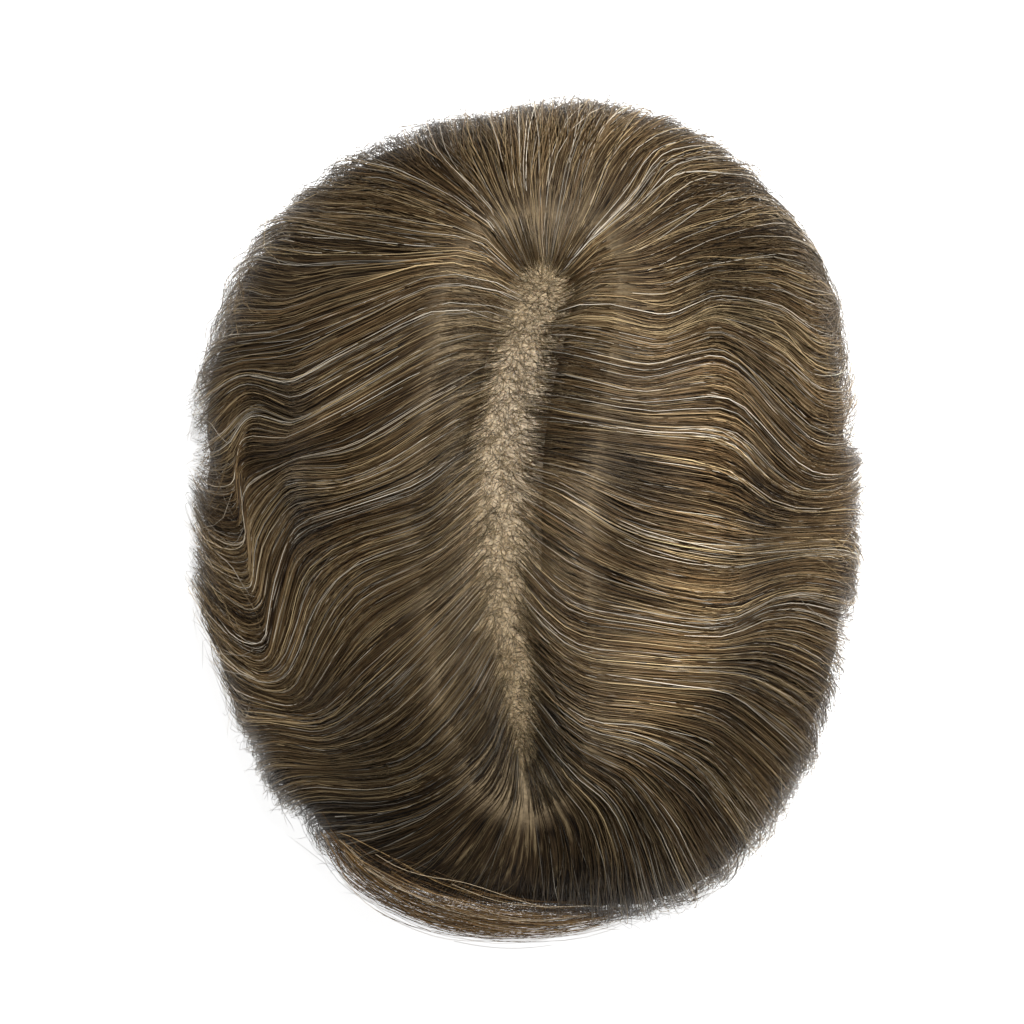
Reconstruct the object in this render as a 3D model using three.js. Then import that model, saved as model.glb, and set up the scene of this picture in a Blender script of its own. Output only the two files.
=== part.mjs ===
// A parted toupee hairpiece in millimetres: a domed skin base and the three falls of waved hair that it carries.
// +X is to the right of the piece seen from above, +Y is its back and +Z is up.
// The origin is on the surface that it stands on, under the middle of the hair.
// The hair leaves a parting that runs from the whorl at the back to the front, and sweeps over the base to the hem.
import * as THREE from "three";

// Skin base: an oval dome, open below.
const baseHalfWidth = 80;
const baseHalfLength = 101;
const baseRise = 56;
const baseRimHeight = 20;
const baseWall = 1;
const baseFrontSquareness = 2.5;
const baseBackSquareness = 2.15;

// Hair: how far it stands out beyond the base, and its hem.
const sideVolume = 21.5;
const endVolume = 25;
const crownVolume = 8;
const hairSquareness = 2.3;
const widestHeight = 26;
const hemTuck = 4;
const hemThickness = 6.5;
const hemNotch = 3;

// Parting: the bare strip on each side of its line, and how the hair thickens away from it.
const partingGap = 3.2;
const lipThickness = 1.2;
const grooveWidth = 20;

// Locks: the ridges that the hair lies in. Each one rises steeply to its crown and falls away past its flank.
const lockWidth = 15.5;
const lockDepth = 2.2;
const fewestLocks = 2;
const flankHeight = 0.65;

// Share of the way from the parting to the hem over which the furrows between locks deepen.
const furrowGrowth = 0.75;

// Waves: the troughs across the locks, deepest on the two sides of the piece.
const waveDepth = 6;

// Clearances between pieces.
const seatGap = 0.5;
const fallGap = 0.6;

// Fineness of the faces.
const fallRows = 16;
const columnsPerLock = 3;
const baseSegments = 44;
const baseRings = 9;

const hairHalfWidth = baseHalfWidth + sideVolume;
const hairHalfLength = baseHalfLength + endVolume;
const hairHeight = baseRimHeight + baseRise + crownVolume;

// How much longer the curved way from the crown to the widest line is than a straight one.
const curvedWay = 1.1;

// Share of the way from crown to hem at which the hair is widest, and at which it passes the rim of the base.
const widestShare = 0.8;
const rimShare = 0.78;

// Shares of the way from crown to hem at which the first wave crests, and from one crest to the next.
const firstCrestShare = 0.3;
const crestSpacingShare = 0.33;

// How full the outline is at each bearing in degrees, as a share of its even oval.
const swellRows = [
  { bearing: 0, swell: 1.0 },
  { bearing: 30, swell: 1.015 },
  { bearing: 55, swell: 1.03 },
  { bearing: 75, swell: 1.02 },
  { bearing: 100, swell: 0.985 },
  { bearing: 125, swell: 0.995 },
  { bearing: 150, swell: 1.015 },
  { bearing: 180, swell: 1.0 },
  { bearing: 205, swell: 0.98 },
  { bearing: 225, swell: 0.97 },
  { bearing: 255, swell: 1.0 },
  { bearing: 300, swell: 0.995 },
  { bearing: 330, swell: 0.98 },
];

// The lie of the hair, clockwise from the back as seen from above. Each row is one line that the hair follows:
// where it leaves the parting and four places that it passes, as shares of the hair's half width and half length,
// and then its bearings in degrees at the widest line and at the hem.
function line(root, near, middle, bend, far, rim, hem) {
  return { root, near, middle, bend, far, rim, hem };
}
const whorl = [0.06, 0.59];
const hairLines = [
  line(whorl, [0.08, 0.7], [0.06, 0.8], [0.06, 0.88], [0.08, 0.94], 85, 87),
  line(whorl, [0.14, 0.72], [0.21, 0.82], [0.26, 0.89], [0.34, 0.95], 68, 71),
  line(whorl, [0.21, 0.72], [0.33, 0.81], [0.42, 0.88], [0.54, 0.89], 54, 55),
  line(whorl, [0.21, 0.63], [0.35, 0.69], [0.52, 0.72], [0.72, 0.73], 40, 38),
  line([0.03, 0.52], [0.21, 0.49], [0.41, 0.49], [0.6, 0.55], [0.79, 0.54], 27, 25),
  line([-0.01, 0.42], [0.15, 0.36], [0.35, 0.35], [0.59, 0.37], [0.81, 0.29], 15, 17),
  line([-0.05, 0.32], [0.14, 0.27], [0.38, 0.26], [0.62, 0.24], [0.83, 0.13], 9, 11),
  line([-0.07, 0.22], [0.11, 0.19], [0.38, 0.18], [0.62, 0.13], [0.83, 0.04], 3, 5),
  line([-0.09, 0.13], [0.11, 0.03], [0.36, -0.08], [0.62, -0.12], [0.83, -0.1], -5, -2),
  line([-0.05, -0.05], [0.12, -0.19], [0.36, -0.25], [0.62, -0.26], [0.82, -0.24], -17, -18),
  line([-0.04, -0.14], [0.12, -0.27], [0.36, -0.32], [0.62, -0.33], [0.82, -0.35], -25, -26),
  line([-0.04, -0.23], [0.14, -0.35], [0.35, -0.4], [0.6, -0.42], [0.77, -0.5], -34, -34),
  line([-0.04, -0.33], [0.15, -0.44], [0.36, -0.49], [0.56, -0.54], [0.7, -0.64], -44, -43),
  line([-0.02, -0.42], [0.14, -0.54], [0.3, -0.64], [0.41, -0.76], [0.46, -0.85], -61, -60),
  line([0, -0.5], [0.13, -0.61], [0.22, -0.72], [0.27, -0.82], [0.28, -0.89], -74, -76),
  line([0.01, -0.57], [0.01, -0.66], [0.01, -0.76], [0.01, -0.86], [0, -0.93], -90, -91),
  line([0, -0.51], [-0.06, -0.67], [-0.16, -0.76], [-0.31, -0.86], [-0.38, -0.89], -114, -112),
  line([-0.02, -0.42], [-0.11, -0.58], [-0.25, -0.68], [-0.48, -0.74], [-0.64, -0.74], -132, -130),
  line([-0.03, -0.34], [-0.14, -0.51], [-0.29, -0.62], [-0.52, -0.67], [-0.69, -0.65], -142, -141),
  line([-0.04, -0.23], [-0.19, -0.39], [-0.37, -0.54], [-0.61, -0.6], [-0.76, -0.56], -149, -150),
  line([-0.05, -0.1], [-0.23, -0.23], [-0.46, -0.42], [-0.65, -0.51], [-0.8, -0.47], -157, -158),
  line([-0.08, 0.07], [-0.27, -0.06], [-0.51, -0.14], [-0.67, -0.24], [-0.79, -0.35], -165, -167),
  line([-0.08, 0.19], [-0.28, 0.07], [-0.53, 0.01], [-0.74, -0.04], [-0.83, -0.19], -173, -175),
  line([-0.03, 0.38], [-0.24, 0.24], [-0.51, 0.13], [-0.76, 0.1], [-0.86, 0], -180, -182),
  line([0.01, 0.47], [-0.24, 0.43], [-0.51, 0.36], [-0.73, 0.29], [-0.88, 0.24], -190, -188),
  line([0.04, 0.53], [-0.22, 0.55], [-0.47, 0.53], [-0.66, 0.48], [-0.84, 0.43], -200, -197),
  line([0.05, 0.57], [-0.16, 0.6], [-0.39, 0.62], [-0.61, 0.6], [-0.76, 0.56], -211, -208),
  line(whorl, [-0.13, 0.64], [-0.33, 0.68], [-0.54, 0.7], [-0.69, 0.71], -221, -221),
  line(whorl, [-0.1, 0.72], [-0.28, 0.79], [-0.45, 0.82], [-0.56, 0.81], -231, -233),
  line(whorl, [-0.05, 0.73], [-0.19, 0.82], [-0.29, 0.87], [-0.33, 0.91], -249, -247),
  line(whorl, [0, 0.73], [-0.07, 0.84], [-0.1, 0.9], [-0.12, 0.94], -262, -260),
];

// Falls: the lines, by their place in the list, between which each one lies.
const fallTable = [
  { name: "hair_left_side", firstLine: 3, lastLine: 15 },
  { name: "hair_right_side", firstLine: 15, lastLine: 27 },
  { name: "hair_back", firstLine: 27, lastLine: 34 },
];

const hairMaterial = new THREE.MeshStandardMaterial({ color: 0x5a4a35, roughness: 0.55, metalness: 0 });
const skinMaterial = new THREE.MeshStandardMaterial({ color: 0xb5a58c, roughness: 0.6, metalness: 0 });

const quarterTurn = Math.PI / 2;

// Distance from the middle to an oval of half size one each way, squarer than an ellipse above a squareness of 2.
function ovalReach(bearing, squareness) {
  const across = Math.abs(Math.cos(bearing)) ** squareness;
  const along = Math.abs(Math.sin(bearing)) ** squareness;
  return (across + along) ** (-1 / squareness);
}

// The swell of the outline at a bearing, smoothed between the rows of its table.
function swellAt(bearing) {
  const degrees = THREE.MathUtils.euclideanModulo(THREE.MathUtils.radToDeg(bearing), 360);
  const count = swellRows.length;
  let next = swellRows.findIndex((row) => row.bearing > degrees);
  if (next < 0) next = count;
  const low = swellRows[next - 1];
  const high = swellRows[next % count];
  const highBearing = next === count ? 360 : high.bearing;
  const share = (degrees - low.bearing) / (highBearing - low.bearing);
  return THREE.MathUtils.lerp(low.swell, high.swell, THREE.MathUtils.smoothstep(share, 0, 1));
}

function hairReach(bearing) {
  return ovalReach(bearing, hairSquareness) * swellAt(bearing);
}

function baseReach(bearing) {
  return ovalReach(bearing, Math.sin(bearing) < 0 ? baseFrontSquareness : baseBackSquareness);
}

// A place on the hair, spread out flat: its bearing, and how far it is from crown to hem as a share.
function flatPlace(bearing, share) {
  return new THREE.Vector3(share * Math.cos(bearing), share * Math.sin(bearing), 0);
}

// The flat place of a point that is given as shares of the hair's half width and half length.
function flatFromPlan([across, along]) {
  const bearing = Math.atan2(along, across);
  const reach = Math.min(1, Math.hypot(across, along) / hairReach(bearing));
  return flatPlace(bearing, (Math.asin(reach) / quarterTurn) * widestShare);
}

// The full outside of the hair at a flat place.
function outsideAt(flat) {
  const bearing = Math.atan2(flat.y, flat.x);
  const share = flat.length();
  const reach = hairReach(bearing);
  const direction = new THREE.Vector3(Math.cos(bearing), Math.sin(bearing), 0);
  const rim = new THREE.Vector3(direction.x * hairHalfWidth, direction.y * hairHalfLength, 0).multiplyScalar(reach);
  if (share <= widestShare) {
    const angle = (share / widestShare) * quarterTurn;
    const height = widestHeight + (hairHeight - widestHeight) * Math.cos(angle);
    return rim.multiplyScalar(Math.sin(angle)).setZ(height);
  }
  const below = (share - widestShare) / (1 - widestShare);
  const tucked = rim.length() - hemTuck * below ** 2;
  return rim.setLength(tucked).setZ(widestHeight * (1 - below));
}

// The inside of the hair at a flat place: on the base with a seat gap, and below the base down to the hem.
function insideAt(flat) {
  const bearing = Math.atan2(flat.y, flat.x);
  const share = flat.length();
  const reach = baseReach(bearing);
  const base = new THREE.Vector3(
    Math.cos(bearing) * reach * baseHalfWidth,
    Math.sin(bearing) * reach * baseHalfLength,
    0,
  );
  base.setLength(base.length() + seatGap);
  if (share <= rimShare) {
    const angle = (share / rimShare) * quarterTurn;
    return base.multiplyScalar(Math.sin(angle)).setZ(baseRimHeight + (baseRise + seatGap) * Math.cos(angle));
  }
  const below = (share - rimShare) / (1 - rimShare);
  const hemOutside = outsideAt(flatPlace(bearing, 1));
  const hem = hemOutside.setLength(hemOutside.length() - hemThickness);
  return base.lerp(hem, below).setZ(baseRimHeight * (1 - below));
}

// The lines of the table as smooth curves over the flat hair, and the same lines joined crosswise into rings.
const lineCurves = hairLines.map((row) => {
  const places = [row.root, row.near, row.middle, row.bend, row.far].map(flatFromPlan);
  places.push(flatPlace(THREE.MathUtils.degToRad(row.rim), widestShare));
  places.push(flatPlace(THREE.MathUtils.degToRad(row.hem), 1));
  return new THREE.CatmullRomCurve3(places, false, "centripetal");
});

// Mean length of the way from crown to hem, which turns a length over the flat hair into millimetres.
const crownToRim = Math.hypot((hairHalfWidth + hairHalfLength) / 2, hairHeight - widestHeight) * curvedWay;
const crownToHem = crownToRim + widestHeight;

// The lines joined crosswise into one closed curve, at a share of the way along each of them.
function ringAt(rowShare) {
  const places = lineCurves.map((curve) => {
    const start = partingGap / (curve.getLength() * crownToHem);
    return curve.getPointAt(THREE.MathUtils.lerp(start, 1, rowShare));
  });
  return new THREE.CatmullRomCurve3(places, true, "centripetal");
}

function flatOnRing(ring, lineNumber) {
  return ring.getPoint((lineNumber / hairLines.length) % 1);
}

// The widest edge of the hair between two lines, along which the locks are evenly spaced.
class WidestEdge extends THREE.Curve {
  constructor(firstLine, lastLine) {
    super();
    this.ring = ringAt(widestShare);
    this.firstLine = firstLine;
    this.lastLine = lastLine;
  }

  getPoint(share) {
    return outsideAt(flatOnRing(this.ring, this.lineAt(share)));
  }

  lineAt(share) {
    return THREE.MathUtils.lerp(this.firstLine, this.lastLine, share);
  }
}

// Height of a lock's ridge at a column, from 0 between locks to 1 on its crown.
function ridgeAt(column) {
  const place = column % columnsPerLock;
  if (place === 0) return 0;
  return place === 1 ? 1 : flankHeight;
}

// Depth of the waves at a flat place, from 0 on a crest to 1 in a trough.
function troughAt(flat) {
  const share = flat.length();
  const turns = (share - firstCrestShare) / crestSpacingShare;
  const trough = (1 - Math.cos(turns * 2 * Math.PI)) / 2;
  const grown = THREE.MathUtils.smoothstep(share, 0, firstCrestShare);
  const faded = THREE.MathUtils.smoothstep(share, firstCrestShare + crestSpacingShare, widestShare);
  const sideways = (flat.x / share) ** 2;
  return trough * grown * (1 - faded) * sideways;
}

// A point on the outside of a fall: thin beside the parting and full away from it, with its lock and its waves.
function hairPoint(flat, fromParting, ridge, rowShare) {
  const under = insideAt(flat);
  const outward = outsideAt(flat).sub(under);
  const full = outward.length();
  const thickening = 1 - Math.exp(-((fromParting / grooveWidth) ** 2));
  const furrow = lockDepth * (1 - ridge) * THREE.MathUtils.smoothstep(rowShare, 0, furrowGrowth);
  const relief = furrow + waveDepth * troughAt(flat);
  const thickness = lipThickness + (full - lipThickness - relief) * thickening;
  return under.addScaledVector(outward, thickness / full);
}

// Draws both ends of a row in, level with where they were, so that neighbouring falls keep their gap.
function drawnIn(row) {
  const inward = (from, to) => to.clone().sub(from).setZ(0).setLength(fallGap / 2);
  const first = inward(row[0], row[1]);
  const last = inward(row.at(-1), row.at(-2));
  row[0].add(first);
  row.at(-1).add(last);
  return row;
}

// One fall of hair: a closed wall of locks that starts beside the parting and ends in a level hem.
function makeFall({ name, firstLine, lastLine }) {
  const edge = new WidestEdge(firstLine, lastLine);
  const locks = Math.max(fewestLocks, Math.round(edge.getLength() / lockWidth));
  const columns = Array.from({ length: locks * columnsPerLock + 1 }, (_, column) => ({
    line: edge.lineAt(edge.getUtoTmapping(column / (locks * columnsPerLock))),
    ridge: ridgeAt(column),
  }));
  const partingRing = ringAt(0);
  const outside = [];
  const inside = [];
  for (let row = 0; row <= fallRows; row += 1) {
    const rowShare = row / fallRows;
    const ring = ringAt(rowShare);
    const flats = columns.map(({ line }) => flatOnRing(ring, line));
    if (rowShare === 1) flats.forEach((flat) => flat.setLength(1));
    const outsideRow = columns.map(({ line, ridge }, column) => {
      const fromParting = flats[column].distanceTo(flatOnRing(partingRing, line)) * crownToHem;
      const point = hairPoint(flats[column], fromParting, ridge, rowShare);
      return rowShare === 1 ? point.setZ(ridge === 0 ? hemNotch : 0) : point;
    });
    outside.push(drawnIn(outsideRow));
    inside.push(drawnIn(flats.map(insideAt)));
  }
  const fall = new THREE.Mesh(closedGrid(outside, inside), hairMaterial);
  fall.name = name;
  return fall;
}

// A closed geometry between an outside and an inside grid of points, each a list of rows.
function closedGrid(outside, inside) {
  const rows = outside.length;
  const columns = outside[0].length;
  const positions = [...outside, ...inside].flat().flatMap((point) => point.toArray());
  const outer = (row, column) => row * columns + column;
  const inner = (row, column) => (rows + row) * columns + column;
  const faces = [];
  const quad = (a, b, c, d) => faces.push(a, b, c, a, c, d);
  for (let row = 0; row < rows - 1; row += 1) {
    for (let column = 0; column < columns - 1; column += 1) {
      quad(outer(row, column), outer(row, column + 1), outer(row + 1, column + 1), outer(row + 1, column));
      quad(inner(row, column), inner(row + 1, column), inner(row + 1, column + 1), inner(row, column + 1));
    }
    const last = columns - 1;
    quad(outer(row, 0), outer(row + 1, 0), inner(row + 1, 0), inner(row, 0));
    quad(outer(row, last), inner(row, last), inner(row + 1, last), outer(row + 1, last));
  }
  for (let column = 0; column < columns - 1; column += 1) {
    const last = rows - 1;
    quad(outer(0, column), inner(0, column), inner(0, column + 1), outer(0, column + 1));
    quad(outer(last, column), outer(last, column + 1), inner(last, column + 1), inner(last, column));
  }
  const geometry = new THREE.BufferGeometry();
  geometry.setAttribute("position", new THREE.Float32BufferAttribute(positions, 3));
  geometry.setIndex(faces);
  geometry.computeVertexNormals();
  return geometry;
}

// The skin base: a turned dome profile of one wall, reshaped from a round plan to the oval of the base.
function makeSkinBase() {
  const profile = [];
  for (let ring = 0; ring <= baseRings; ring += 1) {
    const angle = (ring / baseRings) * quarterTurn;
    profile.push(new THREE.Vector2(Math.sin(angle) * baseHalfWidth, Math.cos(angle) * baseRise));
  }
  for (let ring = baseRings; ring >= 0; ring -= 1) {
    const angle = (ring / baseRings) * quarterTurn;
    const reach = Math.sin(angle) * (baseHalfWidth - baseWall);
    profile.push(new THREE.Vector2(reach, Math.cos(angle) * (baseRise - baseWall)));
  }
  profile[0].x = 0;
  profile[profile.length - 1].x = 0;
  const geometry = new THREE.LatheGeometry(profile.reverse(), baseSegments);
  geometry.rotateX(quarterTurn);
  const points = geometry.getAttribute("position");
  for (let index = 0; index < points.count; index += 1) {
    const bearing = Math.atan2(points.getY(index), points.getX(index));
    const reach = baseReach(bearing);
    const lengthening = baseHalfLength / baseHalfWidth;
    points.setX(index, points.getX(index) * reach);
    points.setY(index, points.getY(index) * reach * lengthening);
  }
  geometry.computeVertexNormals();
  const base = new THREE.Mesh(geometry, skinMaterial);
  base.name = "skin_base";
  base.position.z = baseRimHeight;
  return base;
}

const toupee = new THREE.Group();
toupee.add(makeSkinBase());
for (const fall of fallTable) {
  toupee.add(makeFall(fall));
}

// The outline isn't quite even, so the whole piece is moved until its middle is over the origin.
const middle = new THREE.Box3().setFromObject(toupee).getCenter(new THREE.Vector3());
toupee.position.set(-middle.x, -middle.y, 0);

export default toupee;
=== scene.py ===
# A parted toupee hairpiece: a thin skin base, the waved hair that it carries and the single hairs over it.
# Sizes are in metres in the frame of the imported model: +X to the wearer's left, +Y to the back and +Z up.
import math

import bpy
import numpy as np
from bpy.props import FloatProperty, FloatVectorProperty, IntProperty, PointerProperty
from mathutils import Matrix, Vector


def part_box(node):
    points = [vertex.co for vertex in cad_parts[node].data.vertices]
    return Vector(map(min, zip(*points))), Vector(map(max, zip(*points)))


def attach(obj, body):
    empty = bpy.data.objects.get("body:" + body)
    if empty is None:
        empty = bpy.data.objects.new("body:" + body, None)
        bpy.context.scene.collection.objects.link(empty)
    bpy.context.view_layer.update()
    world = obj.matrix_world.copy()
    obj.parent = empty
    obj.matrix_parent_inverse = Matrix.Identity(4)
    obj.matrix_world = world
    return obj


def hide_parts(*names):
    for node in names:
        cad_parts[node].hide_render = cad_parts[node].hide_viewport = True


bl_info = {
    "name": "Parted Hairpiece",
    "version": (1, 0, 0),
    "blender": (4, 5, 0),
    "location": "3D View > Sidebar > Hairpiece",
    "description": "Dresses a waved and parted hairpiece round its packed frame",
    "category": "Add Mesh",
}

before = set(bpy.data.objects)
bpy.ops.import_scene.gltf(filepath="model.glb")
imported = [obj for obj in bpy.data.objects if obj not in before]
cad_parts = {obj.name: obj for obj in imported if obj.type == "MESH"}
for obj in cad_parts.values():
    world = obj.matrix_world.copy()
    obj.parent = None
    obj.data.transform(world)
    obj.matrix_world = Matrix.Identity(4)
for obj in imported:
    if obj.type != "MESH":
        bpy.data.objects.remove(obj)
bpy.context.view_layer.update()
base_low, base_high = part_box("skin_base")

QUARTER_TURN = math.pi / 2

# How the hair is laid out: shares of the way from crown to hem, and how square the ovals are.
WIDEST_SHARE = 0.8
RIM_SHARE = 0.78
FIRST_CREST_SHARE = 0.3
CREST_SPACING_SHARE = 0.33
HAIR_SQUARENESS = 2.3
BASE_FRONT_SQUARENESS = 2.5
BASE_BACK_SQUARENESS = 2.15

# How full the outline is: bearing in degrees, and share of its even oval.
SWELLS = (
    (0, 1.0), (30, 1.03), (55, 1.035), (75, 1.02), (100, 0.98), (125, 0.99), (150, 1.02),
    (180, 0.99), (205, 0.955), (225, 0.96), (240, 0.99), (260, 0.985), (300, 1.01), (330, 0.99), (360, 1.0),
)

# The lie of the hair, clockwise from the back as seen from above. Each row is one line that the hair follows:
# where it leaves the parting and the places that it passes, as shares of the hair's half width and length,
# and then its bearings in degrees at the widest line and at the hem. Lines that hook or double back near the
# rim have a place more.
WHORL = (0.045, 0.555)
HAIR_LINES = (
    (WHORL, (0.065, 0.68), (0.06, 0.8), (0.06, 0.88), (0.08, 0.94), 85, 87),
    (WHORL, (0.135, 0.69), (0.21, 0.82), (0.26, 0.89), (0.34, 0.95), 68, 71),
    (WHORL, (0.2, 0.685), (0.33, 0.81), (0.42, 0.88), (0.54, 0.89), 54, 55),
    (WHORL, (0.21, 0.63), (0.35, 0.69), (0.52, 0.72), (0.72, 0.73), 40, 38),
    ((0.02, 0.5), (0.21, 0.49), (0.41, 0.49), (0.6, 0.55), (0.79, 0.52), (0.89, 0.44), 23, 22),
    ((-0.015, 0.41), (0.15, 0.36), (0.35, 0.35), (0.59, 0.37), (0.8, 0.26), (0.92, 0.16), 10, 11),
    ((-0.05, 0.32), (0.14, 0.27), (0.38, 0.26), (0.62, 0.24), (0.8, 0.15), (0.9, 0.085), 7, 8),
    ((-0.075, 0.23), (0.11, 0.19), (0.38, 0.18), (0.62, 0.13), (0.8, 0.055), (0.9, 0.03), 4, 5),
    ((-0.085, 0.12), (0.11, 0.03), (0.36, -0.08), (0.62, -0.12), (0.8, -0.105), (0.9, -0.085), -5, -3),
    ((-0.075, -0.04), (0.12, -0.19), (0.36, -0.25), (0.62, -0.265), (0.8, -0.225), (0.88, -0.215), -15, -16),
    ((-0.065, -0.13), (0.12, -0.27), (0.36, -0.32), (0.62, -0.33), (0.82, -0.35), -25, -26),
    ((-0.05, -0.22), (0.14, -0.35), (0.35, -0.4), (0.6, -0.42), (0.77, -0.5), -34, -34),
    ((-0.04, -0.31), (0.15, -0.44), (0.36, -0.49), (0.56, -0.54), (0.7, -0.64), -44, -43),
    ((-0.025, -0.39), (0.14, -0.54), (0.3, -0.64), (0.41, -0.76), (0.46, -0.85), -61, -60),
    ((-0.02, -0.46), (0.12, -0.61), (0.22, -0.72), (0.27, -0.82), (0.28, -0.89), -74, -76),
    ((-0.02, -0.52), (-0.01, -0.64), (0.01, -0.76), (0.01, -0.86), (0, -0.93), -90, -91),
    ((-0.02, -0.47), (-0.07, -0.65), (-0.16, -0.76), (-0.31, -0.86), (-0.38, -0.89), -114, -112),
    ((-0.025, -0.39), (-0.11, -0.56), (-0.25, -0.68), (-0.48, -0.74), (-0.64, -0.74), -131, -130),
    ((-0.04, -0.31), (-0.14, -0.49), (-0.29, -0.62), (-0.52, -0.67), (-0.69, -0.65), -138, -138),
    ((-0.055, -0.21), (-0.19, -0.38), (-0.37, -0.54), (-0.61, -0.6), (-0.76, -0.57), -144, -145),
    ((-0.07, -0.09), (-0.23, -0.23), (-0.46, -0.41), (-0.64, -0.515), (-0.8, -0.485), -151, -152),
    (
        (-0.08, 0.07), (-0.27, -0.06), (-0.51, -0.145), (-0.655, -0.3), (-0.745, -0.425), (-0.86, -0.37),
        -166, -165,
    ),
    (
        (-0.08, 0.19), (-0.28, 0.07), (-0.54, 0), (-0.735, -0.075), (-0.79, -0.21), (-0.81, -0.33),
        -173.5, -173.5,
    ),
    ((-0.04, 0.35), (-0.24, 0.24), (-0.53, 0.125), (-0.78, 0.118), (-0.87, 0.02), (-0.87, -0.11), -181, -181),
    (
        (-0.01, 0.42), (-0.24, 0.335), (-0.53, 0.235), (-0.77, 0.178), (-0.89, 0.14), (-0.895, 0.0),
        -185.5, -185.5,
    ),
    ((0.01, 0.47), (-0.24, 0.43), (-0.53, 0.345), (-0.74, 0.283), (-0.87, 0.315), (-0.945, 0.23), -190, -190),
    ((0.03, 0.52), (-0.22, 0.55), (-0.47, 0.53), (-0.66, 0.48), (-0.84, 0.43), -199, -198),
    ((0.04, 0.545), (-0.16, 0.6), (-0.39, 0.62), (-0.61, 0.6), (-0.76, 0.56), -211, -208),
    (WHORL, (-0.13, 0.64), (-0.33, 0.68), (-0.54, 0.7), (-0.69, 0.71), -221, -221),
    (WHORL, (-0.12, 0.69), (-0.28, 0.79), (-0.45, 0.82), (-0.56, 0.81), -231, -233),
    (WHORL, (-0.07, 0.7), (-0.19, 0.82), (-0.29, 0.87), (-0.33, 0.91), -249, -247),
    (WHORL, (0, 0.7), (-0.07, 0.84), (-0.1, 0.9), (-0.12, 0.94), -262, -260),
)
LINE_COUNT = len(HAIR_LINES)

# How far each of those places lies from the base, at 0, to the outside of the hair, at 1, and how much
# further out the highest hair looks from above than its place in the plan.
PLACE_LAYERS = (0, 0.6, 1, 1, 1, 1)
CROWN_LOOKS_OUT = 0.06

# Painted light and shade on each side of the crown: share of the way from crown to hem, and how light the hair
# is painted.
PAINTED_LIGHT_ON_LEFT = (
    (0, 1.3), (0.08, 1.15), (0.17, 0.62), (0.27, 2.1), (0.38, 0.7), (0.46, 0.62), (0.65, 1.3), (0.8, 1.7),
)
PAINTED_LIGHT_ON_RIGHT = (
    (0, 1.4), (0.07, 1.2), (0.15, 0.4), (0.27, 0.68), (0.38, 0.72), (0.5, 0.6), (0.63, 0.9), (0.8, 1.4),
)
PAINTED_LIGHT_AT_BACK = (
    (0, 1.3), (0.12, 0.55), (0.28, 0.6), (0.37, 1.5), (0.45, 0.8), (0.55, 0.95), (0.65, 1.2), (0.8, 1.5),
)
PAINTED_LIGHT_AT_FRONT = ((0, 1.3), (0.15, 0.75), (0.32, 0.25), (0.5, 0.3), (0.65, 0.36), (0.8, 0.5))

# Painted shade on the slopes between them: bearing in degrees, and how light.
SLOPE_SHADE = (
    (-180, 1.0), (-150, 1.05), (-125, 0.6), (-95, 0.8), (-60, 1.35), (-25, 0.75), (0, 1.1), (20, 1.0),
    (42, 0.5), (70, 0.95), (95, 0.95), (120, 0.6), (150, 0.85), (180, 1.0),
)

# How many wisps and how many larger tresses the hairs gather into for each line, in groups that overlap, how
# strongly each draws its hairs together, and how many wisps over a wisp wanders.
WISPS_PER_LINE = 18
TRESSES_PER_LINE = 4
WISP_GROUPS = 3
WISP_PULL = 0.5
TRESS_PULL = 0.25
WISP_WANDER = 0.8

# How far below the surface the single hairs lie at the least and at the most.
SHALLOWEST = -0.0006
DEEPEST = 0.0015

# Where the hair stands back behind the front curl, as bearings in degrees.
FRONT_HOLLOW_BEARING = -103
FRONT_HOLLOW_HALF_WIDTH = 42

# The curl of loose hair that sweeps round the front: bearing in degrees, share of the way to the hem, and
# how far it stands off the outside of the hair.
FRONT_CURL = (
    (-128, 0.62, -0.001), (-122, 0.67, -0.001), (-115, 0.71, -0.001), (-106, 0.74, 0.0),
    (-96, 0.77, 0.0), (-86, 0.78, -0.001), (-77, 0.77, -0.003), (-70, 0.76, -0.004),
)

# Pieces that the single hairs are joined into: name, and the lines between which they are rooted.
STRAND_PIECES = (
    ("strands_left_back", 3.0, 7.0),
    ("strands_left_middle", 7.0, 11.0),
    ("strands_left_front", 11.0, 15.5),
    ("strands_right_front", 15.5, 19.5),
    ("strands_right_middle", 19.5, 23.5),
    ("strands_right_back", 23.5, 28.5),
    ("strands_back", 28.5, 35.0),
)

QUICK_PART = 6

# Lengths below which points count as one, and values that keep a division from nought.
CLOSE_POINTS = 1e-4
TINY_REACH = 1e-6
TINY_LENGTH = 1e-9


def length_property(name, default, description):
    return FloatProperty(
        name=name, description=description, default=default, min=0, subtype="DISTANCE", unit="LENGTH"
    )


def place_property(name, default, description):
    return FloatProperty(name=name, description=description, default=default, unit="LENGTH")


def power_property(name, default, description):
    return FloatProperty(name=name, description=description, default=default, min=0, unit="POWER")


def strength_property(name, default, description):
    return FloatProperty(name=name, description=description, default=default, min=0)


def count_property(name, default, description):
    return IntProperty(name=name, description=description, default=default, min=QUICK_PART)


def share_property(name, default, description):
    return FloatProperty(name=name, description=description, default=default, min=0, max=1, subtype="FACTOR")


def colour_property(name, default, description):
    return FloatVectorProperty(
        name=name, description=description, default=default, size=3, min=0, max=1, subtype="COLOR"
    )


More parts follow.
